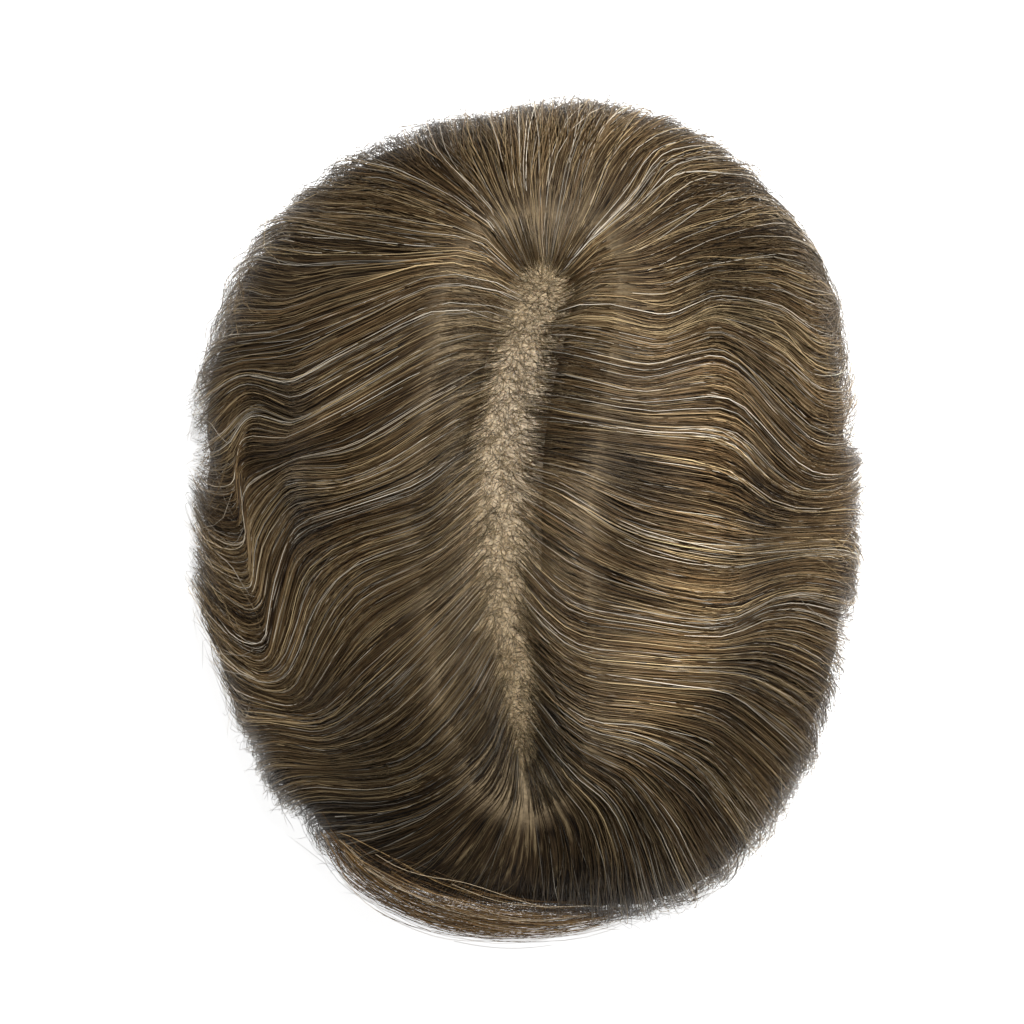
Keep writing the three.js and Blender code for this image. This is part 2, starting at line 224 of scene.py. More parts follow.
class HairpieceShape(bpy.types.PropertyGroup):
    """Sizes of the hair's form."""

    side_volume: length_property("Side volume", 0.0215, "How far the hair stands out at the sides")
    end_volume: length_property("End volume", 0.025, "How far the hair stands out at the front and back")
    crown_volume: length_property("Crown volume", 0.008, "Height of the hair over the base")
    widest_height: length_property("Widest height", 0.026, "Height at which the hair is widest")
    hem_tuck: length_property("Hem tuck", 0.004, "How far the hem is drawn in below the widest line")
    hem_thickness: length_property("Hem thickness", 0.0065, "Thickness of the hair at its hem")
    lip_thickness: length_property("Lip thickness", 0.0012, "Thickness of the hair beside the parting")
    groove_width: length_property("Groove width", 0.02, "How far from the parting the hair thickens")
    seat_gap: length_property("Seat gap", 0.0005, "Gap between the base and the mass of hair")
    lock_width: length_property("Lock width", 0.0155, "Width of a lock at the widest line")
    lock_depth: length_property("Lock depth", 0.0022, "Depth of the furrows between locks")
    wave_depth: length_property("Wave depth", 0.006, "Depth of the waves at the sides")
    front_hollow: length_property("Front hollow", 0.0045, "How far the hair lies back behind the curl")
    base_wall: length_property("Base wall", 0.001, "Thickness of the skin base")


class HairpieceStrands(bpy.types.PropertyGroup):
    """Number and size of the single hairs."""

    hair_width: length_property("Hair width", 0.0002, "Width of one modelled hair")
    count: count_property("Hairs", 12600, "Hairs rooted over the whole base")
    root_count: count_property("Root hairs", 7000, "Short hairs beside the parting")
    stray_count: count_property("Stray hairs", 1900, "Hairs that stand off the rest")
    curl_count: count_property("Curl hairs", 400, "Hairs in the loose front curl")
    segment: length_property("Segment", 0.0175, "Longest straight stretch of a hair")
    shortest: length_property("Shortest hair", 0.102, "Length of the shortest hairs")
    longest: length_property("Longest hair", 0.15, "Length of the longest hairs")


class HairpieceColours(bpy.types.PropertyGroup):
    """Colours of the hair and the base."""

    dark: colour_property("Dark hair", (0.012, 0.0065, 0.0025), "Darkest of the brown hairs")
    brown: colour_property("Brown hair", (0.13, 0.079, 0.036), "Most of the hairs")
    golden: colour_property("Golden hair", (0.45, 0.335, 0.18), "Lightest of the brown hairs")
    grey: colour_property("Grey hair", (0.62, 0.56, 0.46), "Grey hairs among the brown")
    grey_share: share_property("Grey share", 0.1, "Share of the hairs that are grey")
    skin: colour_property("Skin base", (0.28, 0.212, 0.128), "Colour of the skin base")


class HairpieceStage(bpy.types.PropertyGroup):
    """Floor, camera and lights."""

    floor_size: length_property("Floor size", 6.0, "Width of the pale floor")
    camera_height: length_property("Camera height", 0.89, "Height of the camera over the floor")
    camera_x: place_property("Camera X", -0.0041, "Camera's place across")
    camera_y: place_property("Camera Y", 0.0021, "Camera's place along")
    lens: FloatProperty(name="Lens", description="Focal length in millimetres", default=100.0, min=10)
    overhead: power_property("Overhead light", 27.0, "Power of the soft light overhead")
    left_side: power_property("Left light", 3.0, "Power of the soft light at the left")
    right_side: power_property("Right light", 1.8, "Power of the soft light at the right")
    room: strength_property("Room light", 0.04, "Strength of the pale room")
    floor_glow: strength_property("Floor glow", 0.9, "Light given off by the lit floor")


# Smooth curves

NOISE_PERIOD = 256


def smooth_step(values, low, high):
    share = np.clip((values - low) / (high - low), 0, 1)
    return share * share * (3 - 2 * share)


def smooth_curve(points, shares, closed):
    """Places on a smooth curve through points, with the tangents of a centripetal Catmull-Rom curve."""
    points = np.asarray(points, float)
    count = len(points)
    spans = count if closed else count - 1
    along = np.asarray(shares) * spans
    first = np.minimum(np.floor(along).astype(int), spans - 1)
    weight = (along - first).reshape((-1,) + (1,) * (points.ndim - 1))
    if closed:
        four = [points[(first + step) % count] for step in (-1, 0, 1, 2)]
    else:
        before = 2 * points[:1] - points[1:2]
        after = 2 * points[-1:] - points[-2:-1]
        padded = np.concatenate([before, points, after])
        four = [padded[first + step] for step in (0, 1, 2, 3)]
    gaps = [np.sum((b - a) ** 2, axis=-1, keepdims=True) ** 0.25 for a, b in zip(four, four[1:])]
    middle_gap = np.maximum(gaps[1], CLOSE_POINTS)
    first_gap = np.where(gaps[0] < CLOSE_POINTS, middle_gap, gaps[0])
    last_gap = np.where(gaps[2] < CLOSE_POINTS, middle_gap, gaps[2])
    p0, p1, p2, p3 = four
    leave = (p1 - p0) / first_gap - (p2 - p0) / (first_gap + middle_gap) + (p2 - p1) / middle_gap
    leave *= middle_gap
    arrive = (p2 - p1) / middle_gap - (p3 - p1) / (middle_gap + last_gap) + (p3 - p2) / last_gap
    arrive *= middle_gap
    cubic = 2 * p1 - 2 * p2 + leave + arrive
    square = -3 * p1 + 3 * p2 - 2 * leave - arrive
    return p1 + weight * (leave + weight * (square + weight * cubic))


def soft_noise(across, along, seed, period=NOISE_PERIOD):
    """Smooth noise from -1 to 1, with a feature at each whole number, that repeats across after a period."""
    table = np.random.default_rng(seed).uniform(-1, 1, (period, NOISE_PERIOD))
    column = np.floor(across).astype(int)
    row = np.floor(along).astype(int)
    across_share = smooth_step(across - column, 0, 1)
    along_share = smooth_step(along - row, 0, 1)

    def corner(column_step, row_step):
        return table[(column + column_step) % period, (row + row_step) % NOISE_PERIOD]

    low = corner(0, 0) * (1 - across_share) + corner(1, 0) * across_share
    high = corner(0, 1) * (1 - across_share) + corner(1, 1) * across_share
    return low * (1 - along_share) + high * along_share


# The form of the hair


def oval_reach(bearing, squareness):
    across = np.abs(np.cos(bearing)) ** squareness
    along = np.abs(np.sin(bearing)) ** squareness
    return (across + along) ** (-1 / squareness)


def hair_reach(bearing):
    degrees = np.degrees(bearing) % 360
    marks = np.array([row[0] for row in SWELLS], float)
    swells = np.array([row[1] for row in SWELLS], float)
    place = np.clip(np.searchsorted(marks, degrees, side="right") - 1, 0, len(marks) - 2)
    share = smooth_step(degrees, marks[place], marks[place + 1])
    return oval_reach(bearing, HAIR_SQUARENESS) * (swells[place] * (1 - share) + swells[place + 1] * share)


def base_reach(bearing):
    squareness = np.where(np.sin(bearing) < 0, BASE_FRONT_SQUARENESS, BASE_BACK_SQUARENESS)
    return oval_reach(bearing, squareness)


def flat_place(bearing, share):
    return np.stack([share * np.cos(bearing), share * np.sin(bearing)], axis=-1)


class HairForm:
    """Where the hair lies.

    A flat place is a bearing and a share of the way from crown to hem, as a point on a disc.
    """

    # Steps of the curves and of the grid that the lie is laid out on.
    CURVE_STEPS = 240
    LINE_STEPS = 24
    SHARE_STEPS = 128

    # How much longer the curved way from the crown to the widest line is than a straight one.
    CURVED_WAY = 1.1

    # The length that a turn of one radian counts for where the places along a hair are spaced.
    LENGTH_FOR_TURN = 0.045

    # How full a lock is between its furrows, the share of its way over which they deepen, and how much of
    # their depth fades between two shares of the way to the hem.
    LOCK_FULLNESS = 0.8
    FURROW_GROWTH = 0.75
    FURROW_FADE = 0.6
    FURROW_FADES = (0.5, 0.75)

    # How uneven the surface is, and the share of the hair's thickness that its relief takes at the most.
    UNEVENNESS = 0.0011
    DEEPEST_RELIEF = 0.55

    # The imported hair: the bare strip beside the parting, how far its top lies below the surface on the crown
    # and at the rim, how deep its edge is rooted in the base, and its least thickness.
    BARE_STRIP = 0.013
    SUNK = 0.0018
    RIM_SUNK = 0.003
    ROOTED = 0.0008
    THINNEST = 0.0008

    # Shares of the way along it at which its edge is out of the base and its top is full.
    EDGE_IS_OUT = 0.05
    TOP_IS_FULL = 0.09

    def __init__(self, shape):
        self.shape = shape
        self.middle = np.array([(base_low.x + base_high.x) / 2, (base_low.y + base_high.y) / 2])
        self.base_half = np.array([(base_high.x - base_low.x) / 2, (base_high.y - base_low.y) / 2])
        self.base_rise = base_high.z - base_low.z
        self.rim_height = base_low.z
        self.hair_half = self.base_half + np.array([shape.side_volume, shape.end_volume])
        self.height = self.rim_height + self.base_rise + shape.crown_volume
        crown_to_rim = math.hypot(self.hair_half.mean(), self.height - shape.widest_height) * self.CURVED_WAY
        self.crown_to_hem = crown_to_rim + shape.widest_height
        self.lie = self._lay_lines()
        self.lock_count = self._count_locks()
        self.bends = self._measure_bends()

    def _lay_lines(self):
        """Flat places on a grid of lines and of shares of the way along them."""
        even = np.linspace(0, 1, self.SHARE_STEPS + 1)
        laid = []
        for *planned, rim, hem in HAIR_LINES:
            places = [self._flat_from_plan(point, layer) for point, layer in zip(planned, PLACE_LAYERS)]
            places.append(flat_place(math.radians(rim), WIDEST_SHARE))
            places.append(flat_place(math.radians(hem), 1.0))
            curve = smooth_curve(places, np.linspace(0, 1, self.CURVE_STEPS + 1), closed=False)
            lengths = np.concatenate([[0], np.cumsum(np.linalg.norm(np.diff(curve, axis=0), axis=1))])
            shares = lengths / lengths[-1]
            laid.append(np.stack([np.interp(even, shares, curve[:, axis]) for axis in (0, 1)], axis=-1))
        line_places = np.arange(LINE_COUNT * self.LINE_STEPS) / (LINE_COUNT * self.LINE_STEPS)
        return smooth_curve(np.array(laid), line_places, closed=True)

    def _flat_from_plan(self, point, layer):
        """The flat place of hair seen at a place in the plan, from layer 0 on the base to 1 outside."""
        bearing = math.atan2(point[1], point[0])
        reach = min(1.0, math.hypot(*point) / float(hair_reach(np.array(bearing))))
        height = math.sqrt(1 - reach**2)
        drawn_in = 1 - CROWN_LOOKS_OUT * layer * height
        reach *= drawn_in
        on_outside = flat_place(bearing, math.asin(reach) / QUARTER_TURN * WIDEST_SHARE)
        across, along = np.array(point) * drawn_in * self.hair_half / self.base_half
        bearing = math.atan2(along, across)
        reach = min(1.0, math.hypot(across, along) / float(base_reach(np.array(bearing))))
        on_base = flat_place(bearing, math.asin(reach) / QUARTER_TURN * RIM_SHARE)
        return on_base * (1 - layer) + on_outside * layer

    def flat(self, line, share):
        """Flat places at line numbers and shares of the way along them."""
        across = (np.asarray(line) % LINE_COUNT) * self.LINE_STEPS
        along = np.clip(share, 0, 1) * self.SHARE_STEPS
        column = np.floor(across).astype(int)
        row = np.minimum(np.floor(along).astype(int), self.SHARE_STEPS - 1)
        across_share = (across - column)[..., None]
        along_share = (along - row)[..., None]
        count = LINE_COUNT * self.LINE_STEPS
        here, beside = column % count, (column + 1) % count
        low = self.lie[here, row] * (1 - across_share) + self.lie[beside, row] * across_share
        high = self.lie[here, row + 1] * (1 - across_share) + self.lie[beside, row + 1] * across_share
        return low * (1 - along_share) + high * along_share

    def outside(self, flat):
        """Points on the full outside of the hair."""
        shape = self.shape
        bearing = np.arctan2(flat[..., 1], flat[..., 0])
        share = np.minimum(np.linalg.norm(flat, axis=-1), 1)
        rim = flat_place(bearing, 1) * self.hair_half * hair_reach(bearing)[..., None]
        reach = np.linalg.norm(rim, axis=-1)
        angle = np.minimum(share / WIDEST_SHARE, 1) * QUARTER_TURN
        below = np.clip((share - WIDEST_SHARE) / (1 - WIDEST_SHARE), 0, 1)
        plan = rim * (np.sin(angle) * (1 - shape.hem_tuck * below**2 / reach))[..., None]
        height = np.where(
            share <= WIDEST_SHARE,
            shape.widest_height + (self.height - shape.widest_height) * np.cos(angle),
            shape.widest_height * (1 - below),
        )
        return np.concatenate([plan + self.middle, height[..., None]], axis=-1)

    def inside(self, flat):
        """Points on the inside of the hair: on the base with a gap, and below it down to the hem."""
        shape = self.shape
        bearing = np.arctan2(flat[..., 1], flat[..., 0])
        share = np.minimum(np.linalg.norm(flat, axis=-1), 1)
        direction = flat_place(bearing, 1)
        base = direction * self.base_half * base_reach(bearing)[..., None]
        base *= 1 + shape.seat_gap / np.linalg.norm(base, axis=-1, keepdims=True)
        hem = direction * self.hair_half * hair_reach(bearing)[..., None]
        hem *= 1 - (shape.hem_tuck + shape.hem_thickness) / np.linalg.norm(hem, axis=-1, keepdims=True)
        angle = np.minimum(share / RIM_SHARE, 1) * QUARTER_TURN
        below = np.clip((share - RIM_SHARE) / (1 - RIM_SHARE), 0, 1)
        plan = base * np.sin(angle)[..., None] * (1 - below[..., None]) + hem * below[..., None]
        dome = self.rim_height + (self.base_rise + shape.seat_gap) * np.cos(angle)
        height = np.where(share <= RIM_SHARE, dome, self.rim_height * (1 - below))
        return np.concatenate([plan + self.middle, height[..., None]], axis=-1)

    def outward(self, flat):
        """Unit directions from the inside of the hair to its outside."""
        across = self.outside(flat) - self.inside(flat)
        return across / np.linalg.norm(across, axis=-1, keepdims=True)

    def _count_locks(self):
        """Locks round the widest line, as a running count at each line of the grid."""
        ring = self.outside(self.lie[:, int(WIDEST_SHARE * self.SHARE_STEPS)])
        steps = np.linalg.norm(np.diff(np.concatenate([ring, ring[:1]]), axis=0), axis=1)
        locks = round(steps.sum() / self.shape.lock_width)
        return np.concatenate([[0], np.cumsum(steps)]) / steps.sum() * locks

    def _measure_bends(self):
        """A running measure along each line of the grid: its length in metres, with bends counted as more."""
        steps = np.diff(self.outside(self.lie), axis=1)
        lengths = np.linalg.norm(steps, axis=-1)
        ways = steps / np.maximum(lengths, TINY_LENGTH)[..., None]
        turns = np.arccos(np.clip(np.sum(ways[:, 1:] * ways[:, :-1], axis=-1), -1, 1))
        turns = np.concatenate([turns[:, :1], turns], axis=1)
        running = np.cumsum(lengths + self.LENGTH_FOR_TURN * turns, axis=1)
        return np.concatenate([np.zeros((len(running), 1)), running], axis=1)

    def spaced_shares(self, lines, starts, ends, places):
        """Shares from start to end along each line, closer together where the line bends."""
        columns = np.round(lines * self.LINE_STEPS).astype(int) % len(self.bends)
        even = np.linspace(0, 1, self.SHARE_STEPS + 1)
        shares = np.empty((len(lines), places))
        for row, (column, start, end) in enumerate(zip(columns, starts, ends)):
            first, last = np.interp((start, end), even, self.bends[column])
            shares[row] = np.interp(np.linspace(first, last, places), self.bends[column], even)
        return shares

    def measure(self, lines, starts, ends):
        """The running measure of the bends between two shares of each line."""
        columns = np.round(lines * self.LINE_STEPS).astype(int) % len(self.bends)
        first = np.clip(starts * self.SHARE_STEPS, 0, self.SHARE_STEPS).astype(int)
        last = np.clip(ends * self.SHARE_STEPS, 0, self.SHARE_STEPS).astype(int)
        return self.bends[columns, last] - self.bends[columns, first]

    def lock_place(self, line):
        """The running count of locks at line numbers, whose fraction is the place across a lock."""
        across = (np.asarray(line) % LINE_COUNT) * self.LINE_STEPS
        return np.interp(across, np.arange(len(self.lock_count)), self.lock_count)

    def dip(self, flat):
        """How deep flat places lie in the waves at the sides, from 0 on a crest to 1 in a trough."""
        reach = np.maximum(np.linalg.norm(flat, axis=-1), TINY_REACH)
        trough = (1 - np.cos((reach - FIRST_CREST_SHARE) / CREST_SPACING_SHARE * 2 * math.pi)) / 2
        grown = smooth_step(reach, 0, FIRST_CREST_SHARE)
        faded = smooth_step(reach, FIRST_CREST_SHARE + CREST_SPACING_SHARE, WIDEST_SHARE)
        return trough * grown * (1 - faded) * (flat[..., 0] / reach) ** 2

    def relief(self, line, share, flat):
        """How far the hair's surface lies below its full form, in furrows and in waves."""
        shape = self.shape
        reach = np.linalg.norm(flat, axis=-1)
        across_lock = self.lock_place(line) % 1
        ridge = np.sin(across_lock * math.pi) ** self.LOCK_FULLNESS
        kept = 1 - self.FURROW_FADE * smooth_step(reach, *self.FURROW_FADES)
        furrow = shape.lock_depth * (1 - ridge) * smooth_step(share, 0, self.FURROW_GROWTH) * kept
        uneven = 1 + soft_noise(line * 1.5, reach * 3, seed=41, period=LINE_COUNT * 3 // 2)
        furrow += self.UNEVENNESS * uneven
        bearing = np.degrees(np.arctan2(flat[..., 1], flat[..., 0]))
        away = np.abs(bearing - FRONT_HOLLOW_BEARING) / FRONT_HOLLOW_HALF_WIDTH
        hollow = shape.front_hollow * (1 - smooth_step(away, 0.3, 1)) * smooth_step(reach, 0.4, 0.75)
        return furrow + shape.wave_depth * self.dip(flat) + hollow

    def point(self, line, share, layer, lift=0.0, least=-0.001):
        """Points in the hair.

        Layer is 0 on the base and 1 on the surface of the hair. Lift is added to it, and least is the least
        distance that a point keeps from the inside of the hair.
        """
        shape = self.shape
        flat = self.flat(line, share)
        root = self.flat(line, np.zeros_like(share))
        from_parting = np.linalg.norm(flat - root, axis=-1) * self.crown_to_hem
        under = self.inside(flat)
        outward = self.outside(flat) - under
        full = np.linalg.norm(outward, axis=-1)
        thickening = 1 - np.exp(-((from_parting / shape.groove_width) ** 2))
        above_lip = full - shape.lip_thickness
        relief = np.minimum(self.relief(line, share, flat), self.DEEPEST_RELIEF * above_lip)
        thickness = shape.lip_thickness + (above_lip - relief) * thickening
        return under + outward * (np.maximum(thickness * layer + lift, least) / full)[..., None]

    def packed_top(self, line, share):
        """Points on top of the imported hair, which comes up out of the base a little way from the parting."""
        way = self.packed_way(share)
        layer = smooth_step(way, 0, self.TOP_IS_FULL)
        rooted = self.rooting(way)
        depth = self.SUNK + (self.RIM_SUNK - self.SUNK) * smooth_step(share, 0.45, 0.72)
        sunk = -depth * smooth_step(way, 0.02, 0.2)
        return self.point(line, share, layer, sunk + rooted, self.THINNEST * layer + rooted)

    def packed_way(self, share):
        """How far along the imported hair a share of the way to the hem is."""
        start = self.BARE_STRIP / self.crown_to_hem
        return (share - start) / (1 - start)

    def rooting(self, way):
        """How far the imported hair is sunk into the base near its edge."""
        return -self.ROOTED * (1 - smooth_step(way, 0, self.EDGE_IS_OUT))


# Meshes from arrays

HAIR_SIDES = 3
FIRST_SIDE_TURN = 0.25


def add_mesh(name, points, faces):
    """A smooth mesh object in the scene."""
    mesh = bpy.data.meshes.new(name)
    mesh.from_pydata(points, [], faces)
    mesh.polygons.foreach_set("use_smooth", np.ones(len(mesh.polygons), bool))
    mesh.update()
    piece = bpy.data.objects.new(name, mesh)
    bpy.context.collection.objects.link(piece)
    return piece


def strand_mesh(paths, outward, radius):
    """Points and faces of closed three-sided hairs along paths, each drawn to a point at its tip.

    Paths are hairs by places by three. Outward, the surface's direction, and radius are given at each place.
    """
    hairs, places, _ = paths.shape
    along = np.gradient(paths, axis=1)
    along /= np.maximum(np.linalg.norm(along, axis=-1, keepdims=True), TINY_LENGTH)
    side = np.cross(along, outward)
    side /= np.maximum(np.linalg.norm(side, axis=-1, keepdims=True), TINY_LENGTH)
    up = np.cross(side, along)
    corners = []
    for corner in range(HAIR_SIDES):
        angle = (FIRST_SIDE_TURN + corner / HAIR_SIDES) * 2 * math.pi
        corners.append(paths + (side * math.cos(angle) + up * math.sin(angle)) * radius[..., None])
    rings = np.stack(corners, axis=2)[:, :-1]
    tips = paths[:, -1:]
    points = np.concatenate([rings.reshape(hairs, -1, 3), tips], axis=1)
    per_hair = points.shape[1]
    ring = np.arange(places - 2)[:, None] * HAIR_SIDES
    above = ring + HAIR_SIDES
    quads = []
    for corner in range(HAIR_SIDES):
        beside = (corner + 1) % HAIR_SIDES
        quads.append(np.concatenate([ring + beside, ring + corner, above + corner, above + beside], axis=1))
    quads = np.concatenate(quads)
    last = (places - 2) * HAIR_SIDES
    tip = per_hair - 1
    triangles = np.array([[last + 1, last, tip], [last + 2, last + 1, tip], [last, last + 2, tip], [0, 1, 2]])
    starts = (np.arange(hairs) * per_hair)[:, None, None]
    all_quads = (quads[None] + starts).reshape(-1, 4)
    all_triangles = (triangles[None] + starts).reshape(-1, 3)
    return points.reshape(-1, 3), all_quads, all_triangles, per_hair


def join_strands(name, batches):
    """One mesh piece from batches of hairs, each with its paths, outward directions, radii and colours."""
    points, faces, colours = [], [], []
    start = 0
    for paths, outward, radius, colour in batches:
        batch_points, quads, triangles, per_hair = strand_mesh(paths, outward, radius)
        points.append(batch_points)
        faces += (quads + start).tolist()
        faces += (triangles + start).tolist()
        start += len(batch_points)
        repeated = np.repeat(colour[:, :-1], HAIR_SIDES, axis=1)
        colours.append(np.concatenate([repeated, colour[:, -1:]], axis=1).reshape(-1, 3))
    piece = add_mesh(name, np.concatenate(points), faces)
    colours = np.concatenate(colours)
    attribute = piece.data.color_attributes.new("hair_colour", "FLOAT_COLOR", "POINT")
    attribute.data.foreach_set("color", np.concatenate([colours, np.ones((len(colours), 1))], axis=1).ravel())
    return piece


# Single hairs

# A hair's tone runs from 0, dark, by brown to 1, golden: its mean, how much streaks and whole wisps change
# it, and how much single hairs differ.
MEAN_TONE = 0.45
STREAK_TONE = 0.12
WISP_TONE = 0.1
TONE_SPREAD = 0.25

# At the rim: the tint of the painted sheen where light comes through the thin hair, how much of it, and the
# shares of the way over which that sets in.
RIM_SHEEN_TINT = (1.3, 1.02, 0.68)
RIM_SHEEN_AMOUNT = 0.8
RIM_SHEEN_SPAN = (0.6, 0.78)

# Grey hairs' greyness, tone streaks, painted glints, painted light on top and painted shade deep down, and the
# least.
GREYNESS = (0.4, 1)
STREAK_SHADE = 0.12
PAINTED_GLINTS = 0.55
PAINTED_LIGHT_ON_TOP = 1.26
PAINTED_SHADE_BELOW = 0.86
DARKEST = 0.004

# How far a hair strays from its line, in lines: all along it, in waves, and at its end.
STRAYING = 0.1
STRAYING_IN_WAVES = 0.045
TRESS_SWEEP = 0.55
END_SWEEP = 0.2

# Fewest and most places along a hair.
FEWEST_PLACES = 4
MOST_PLACES = 30

# Lengths from its root over which a hair comes up out of the base, sinks to its own depth and thickens.
RISING = 0.007
SINKING = (0.005, 0.03)
THICKENING = 0.012

# How deep a root lies in the base, and the least distance that the hair keeps from the base once it is out.
ROOT_DEPTH = 0.001
LEAST_OVER_BASE = 0.0003

# How far the middle of a wisp stands over the hairs beside it, and how far the edge of a wisp is sunk.
WISP_RISE = 0.0007
WISP_SUNK = 0.0003

# How much the lift of single hairs differs, and the mean and spread of what is added to it at the rim.
LIFT_SPREAD = 0.0002
RIM_LIFT = 0.001
RIM_LIFT_SPREAD = 0.0014

# Least and greatest length and height of the short root hairs, and their radius as a share of a hair's width.
ROOT_LENGTHS = (0.003, 0.009)
ROOT_HEIGHTS = (0.0002, 0.0014)
ROOT_RADII = (0.2, 0.36)

# Share of the way from crown to hem past which no stray hair and no hair of the curl reaches.
LOWEST_LOOSE = 0.93

# Shares of the way at which stray hairs start near the rim and on top, and how far they run.
RIM_STRAY_STARTS = (0.5, 0.74)
TOP_STRAY_STARTS = (0.08, 0.5)
STRAY_RUNS = (0.08, 0.2)

# Share of the stray hairs that are near the rim, how far they stand off there and on top in the mean, and
# anywhere at the most, how deep they start, and their radius as a share of a hair's width.
STRAYS_ON_RIM = 0.9
RIM_STRAY_STAND = 0.0028
TOP_STRAY_STAND = 0.0009
FURTHEST_STRAY = 0.009
RIM_STRAY_DEPTHS = (0.0004, 0.002)
TOP_STRAY_DEPTH = 0.0004
STRAY_RADII = (0.3, 0.5)

# The front curl: its half breadth as a share of the way to the hem, the mean and spread of how far its hairs
# stand off its line, how much they wave, its tint against the other hair, and their radius as a share of a
# hair's width.
CURL_BREADTH = 0.08
CURL_STAND = -0.0008
CURL_STAND_SPREAD = 0.0018
CURL_WAVE = 0.0012
CURL_TINT = (1.05, 0.93, 0.75)
CURL_RADII = (0.28, 0.45)


def own_noise(rng, along, seed):
    """Smooth noise along each hair, with a part of the noise's table drawn for each hair."""
    across = rng.uniform(0, NOISE_PERIOD, len(along))[:, None]
    return soft_noise(across + 0 * along, along, seed)


def hair_colours(rng, lines, roots, wisps, colours):
    """One base colour for each hair: streaks of dark, brown and golden hair, with grey hairs among them."""
    dark, brown = np.array(colours.dark), np.array(colours.brown)
    golden, grey = np.array(colours.golden), np.array(colours.grey)
    streak = soft_noise(lines * 14, roots * 3, seed=3, period=LINE_COUNT * 14)
    broad = soft_noise(lines * 1.0, roots * 2, seed=4, period=LINE_COUNT)
    of_wisp = np.random.default_rng(5).uniform(-1, 1, LINE_COUNT * WISPS_PER_LINE)
    tone = MEAN_TONE + STREAK_TONE * streak + STREAK_TONE * broad + WISP_TONE * of_wisp[wisps % len(of_wisp)]
    tone = np.clip(tone + rng.normal(0, TONE_SPREAD, len(lines)), 0, 1)[:, None]
    low = dark * (1 - 2 * tone) + brown * 2 * tone
    high = brown * (2 - 2 * tone) + golden * (2 * tone - 1)
    base = np.where(tone < 0.5, low, high)
    is_grey = rng.random(len(lines)) < colours.grey_share
    greyness = np.where(is_grey, rng.uniform(*GREYNESS, len(lines)), 0)[:, None]
    return base * (1 - greyness) + grey * greyness


def painted_lightness(flat):
    """Painted light and shade at flat places: lighter on the crests, and darker in the troughs and on the
    slopes.
    """
    reach = np.maximum(np.linalg.norm(flat, axis=-1), TINY_REACH)
    across, along = flat[..., 0] / reach, flat[..., 1] / reach
    light = np.zeros_like(reach)
    for rows, towards in (
        (PAINTED_LIGHT_ON_LEFT, across), (PAINTED_LIGHT_ON_RIGHT, -across), (PAINTED_LIGHT_AT_BACK, along), (PAINTED_LIGHT_AT_FRONT, -along),
    ):
        light += np.interp(reach, *np.array(rows, float).T) * np.maximum(towards, 0) ** 2
    slope = np.interp(np.degrees(np.arctan2(along, across)), *np.array(SLOPE_SHADE, float).T)
    return light * (1 + (slope - 1) * smooth_step(reach, 0.15, 0.4))


def with_painted_rim_sheen(colour, reach):
    """Painted sheen near the rim, where the hair is thin and light comes through it: the hair's colour is
    muted and loses its warmth.
    """
    muted = colour.mean(axis=-1, keepdims=True) * np.array(RIM_SHEEN_TINT)
    share = RIM_SHEEN_AMOUNT * smooth_step(reach, *RIM_SHEEN_SPAN)[..., None]
    return colour * (1 - share) + muted * share


def gathered(lines, share, group):
    """Line numbers drawn towards the wisp and the tress that each hair lies in.

    The second value is how near to the middle of its wisp each hair lies, and the third is the wisp's number.
    """
    steady = 1 - smooth_step(share, 0.55, 0.75)
    wander = soft_noise(lines * 3, share * 2.2 + group * 17, seed=31, period=LINE_COUNT * 3)
    shift = WISP_WANDER * wander * steady
    place = lines * WISPS_PER_LINE + shift + group / WISP_GROUPS
    off = place - np.round(place)
    tress = lines * TRESSES_PER_LINE + group / WISP_GROUPS
    off_tress = tress - np.round(tress)
    drawn = WISP_PULL * off / WISPS_PER_LINE * smooth_step(share, 0, 0.4)
    drawn += TRESS_PULL * off_tress / TRESSES_PER_LINE * smooth_step(share, 0.2, 0.7)
    return lines - drawn, 1 - 2 * np.abs(off), np.round(place).astype(int)


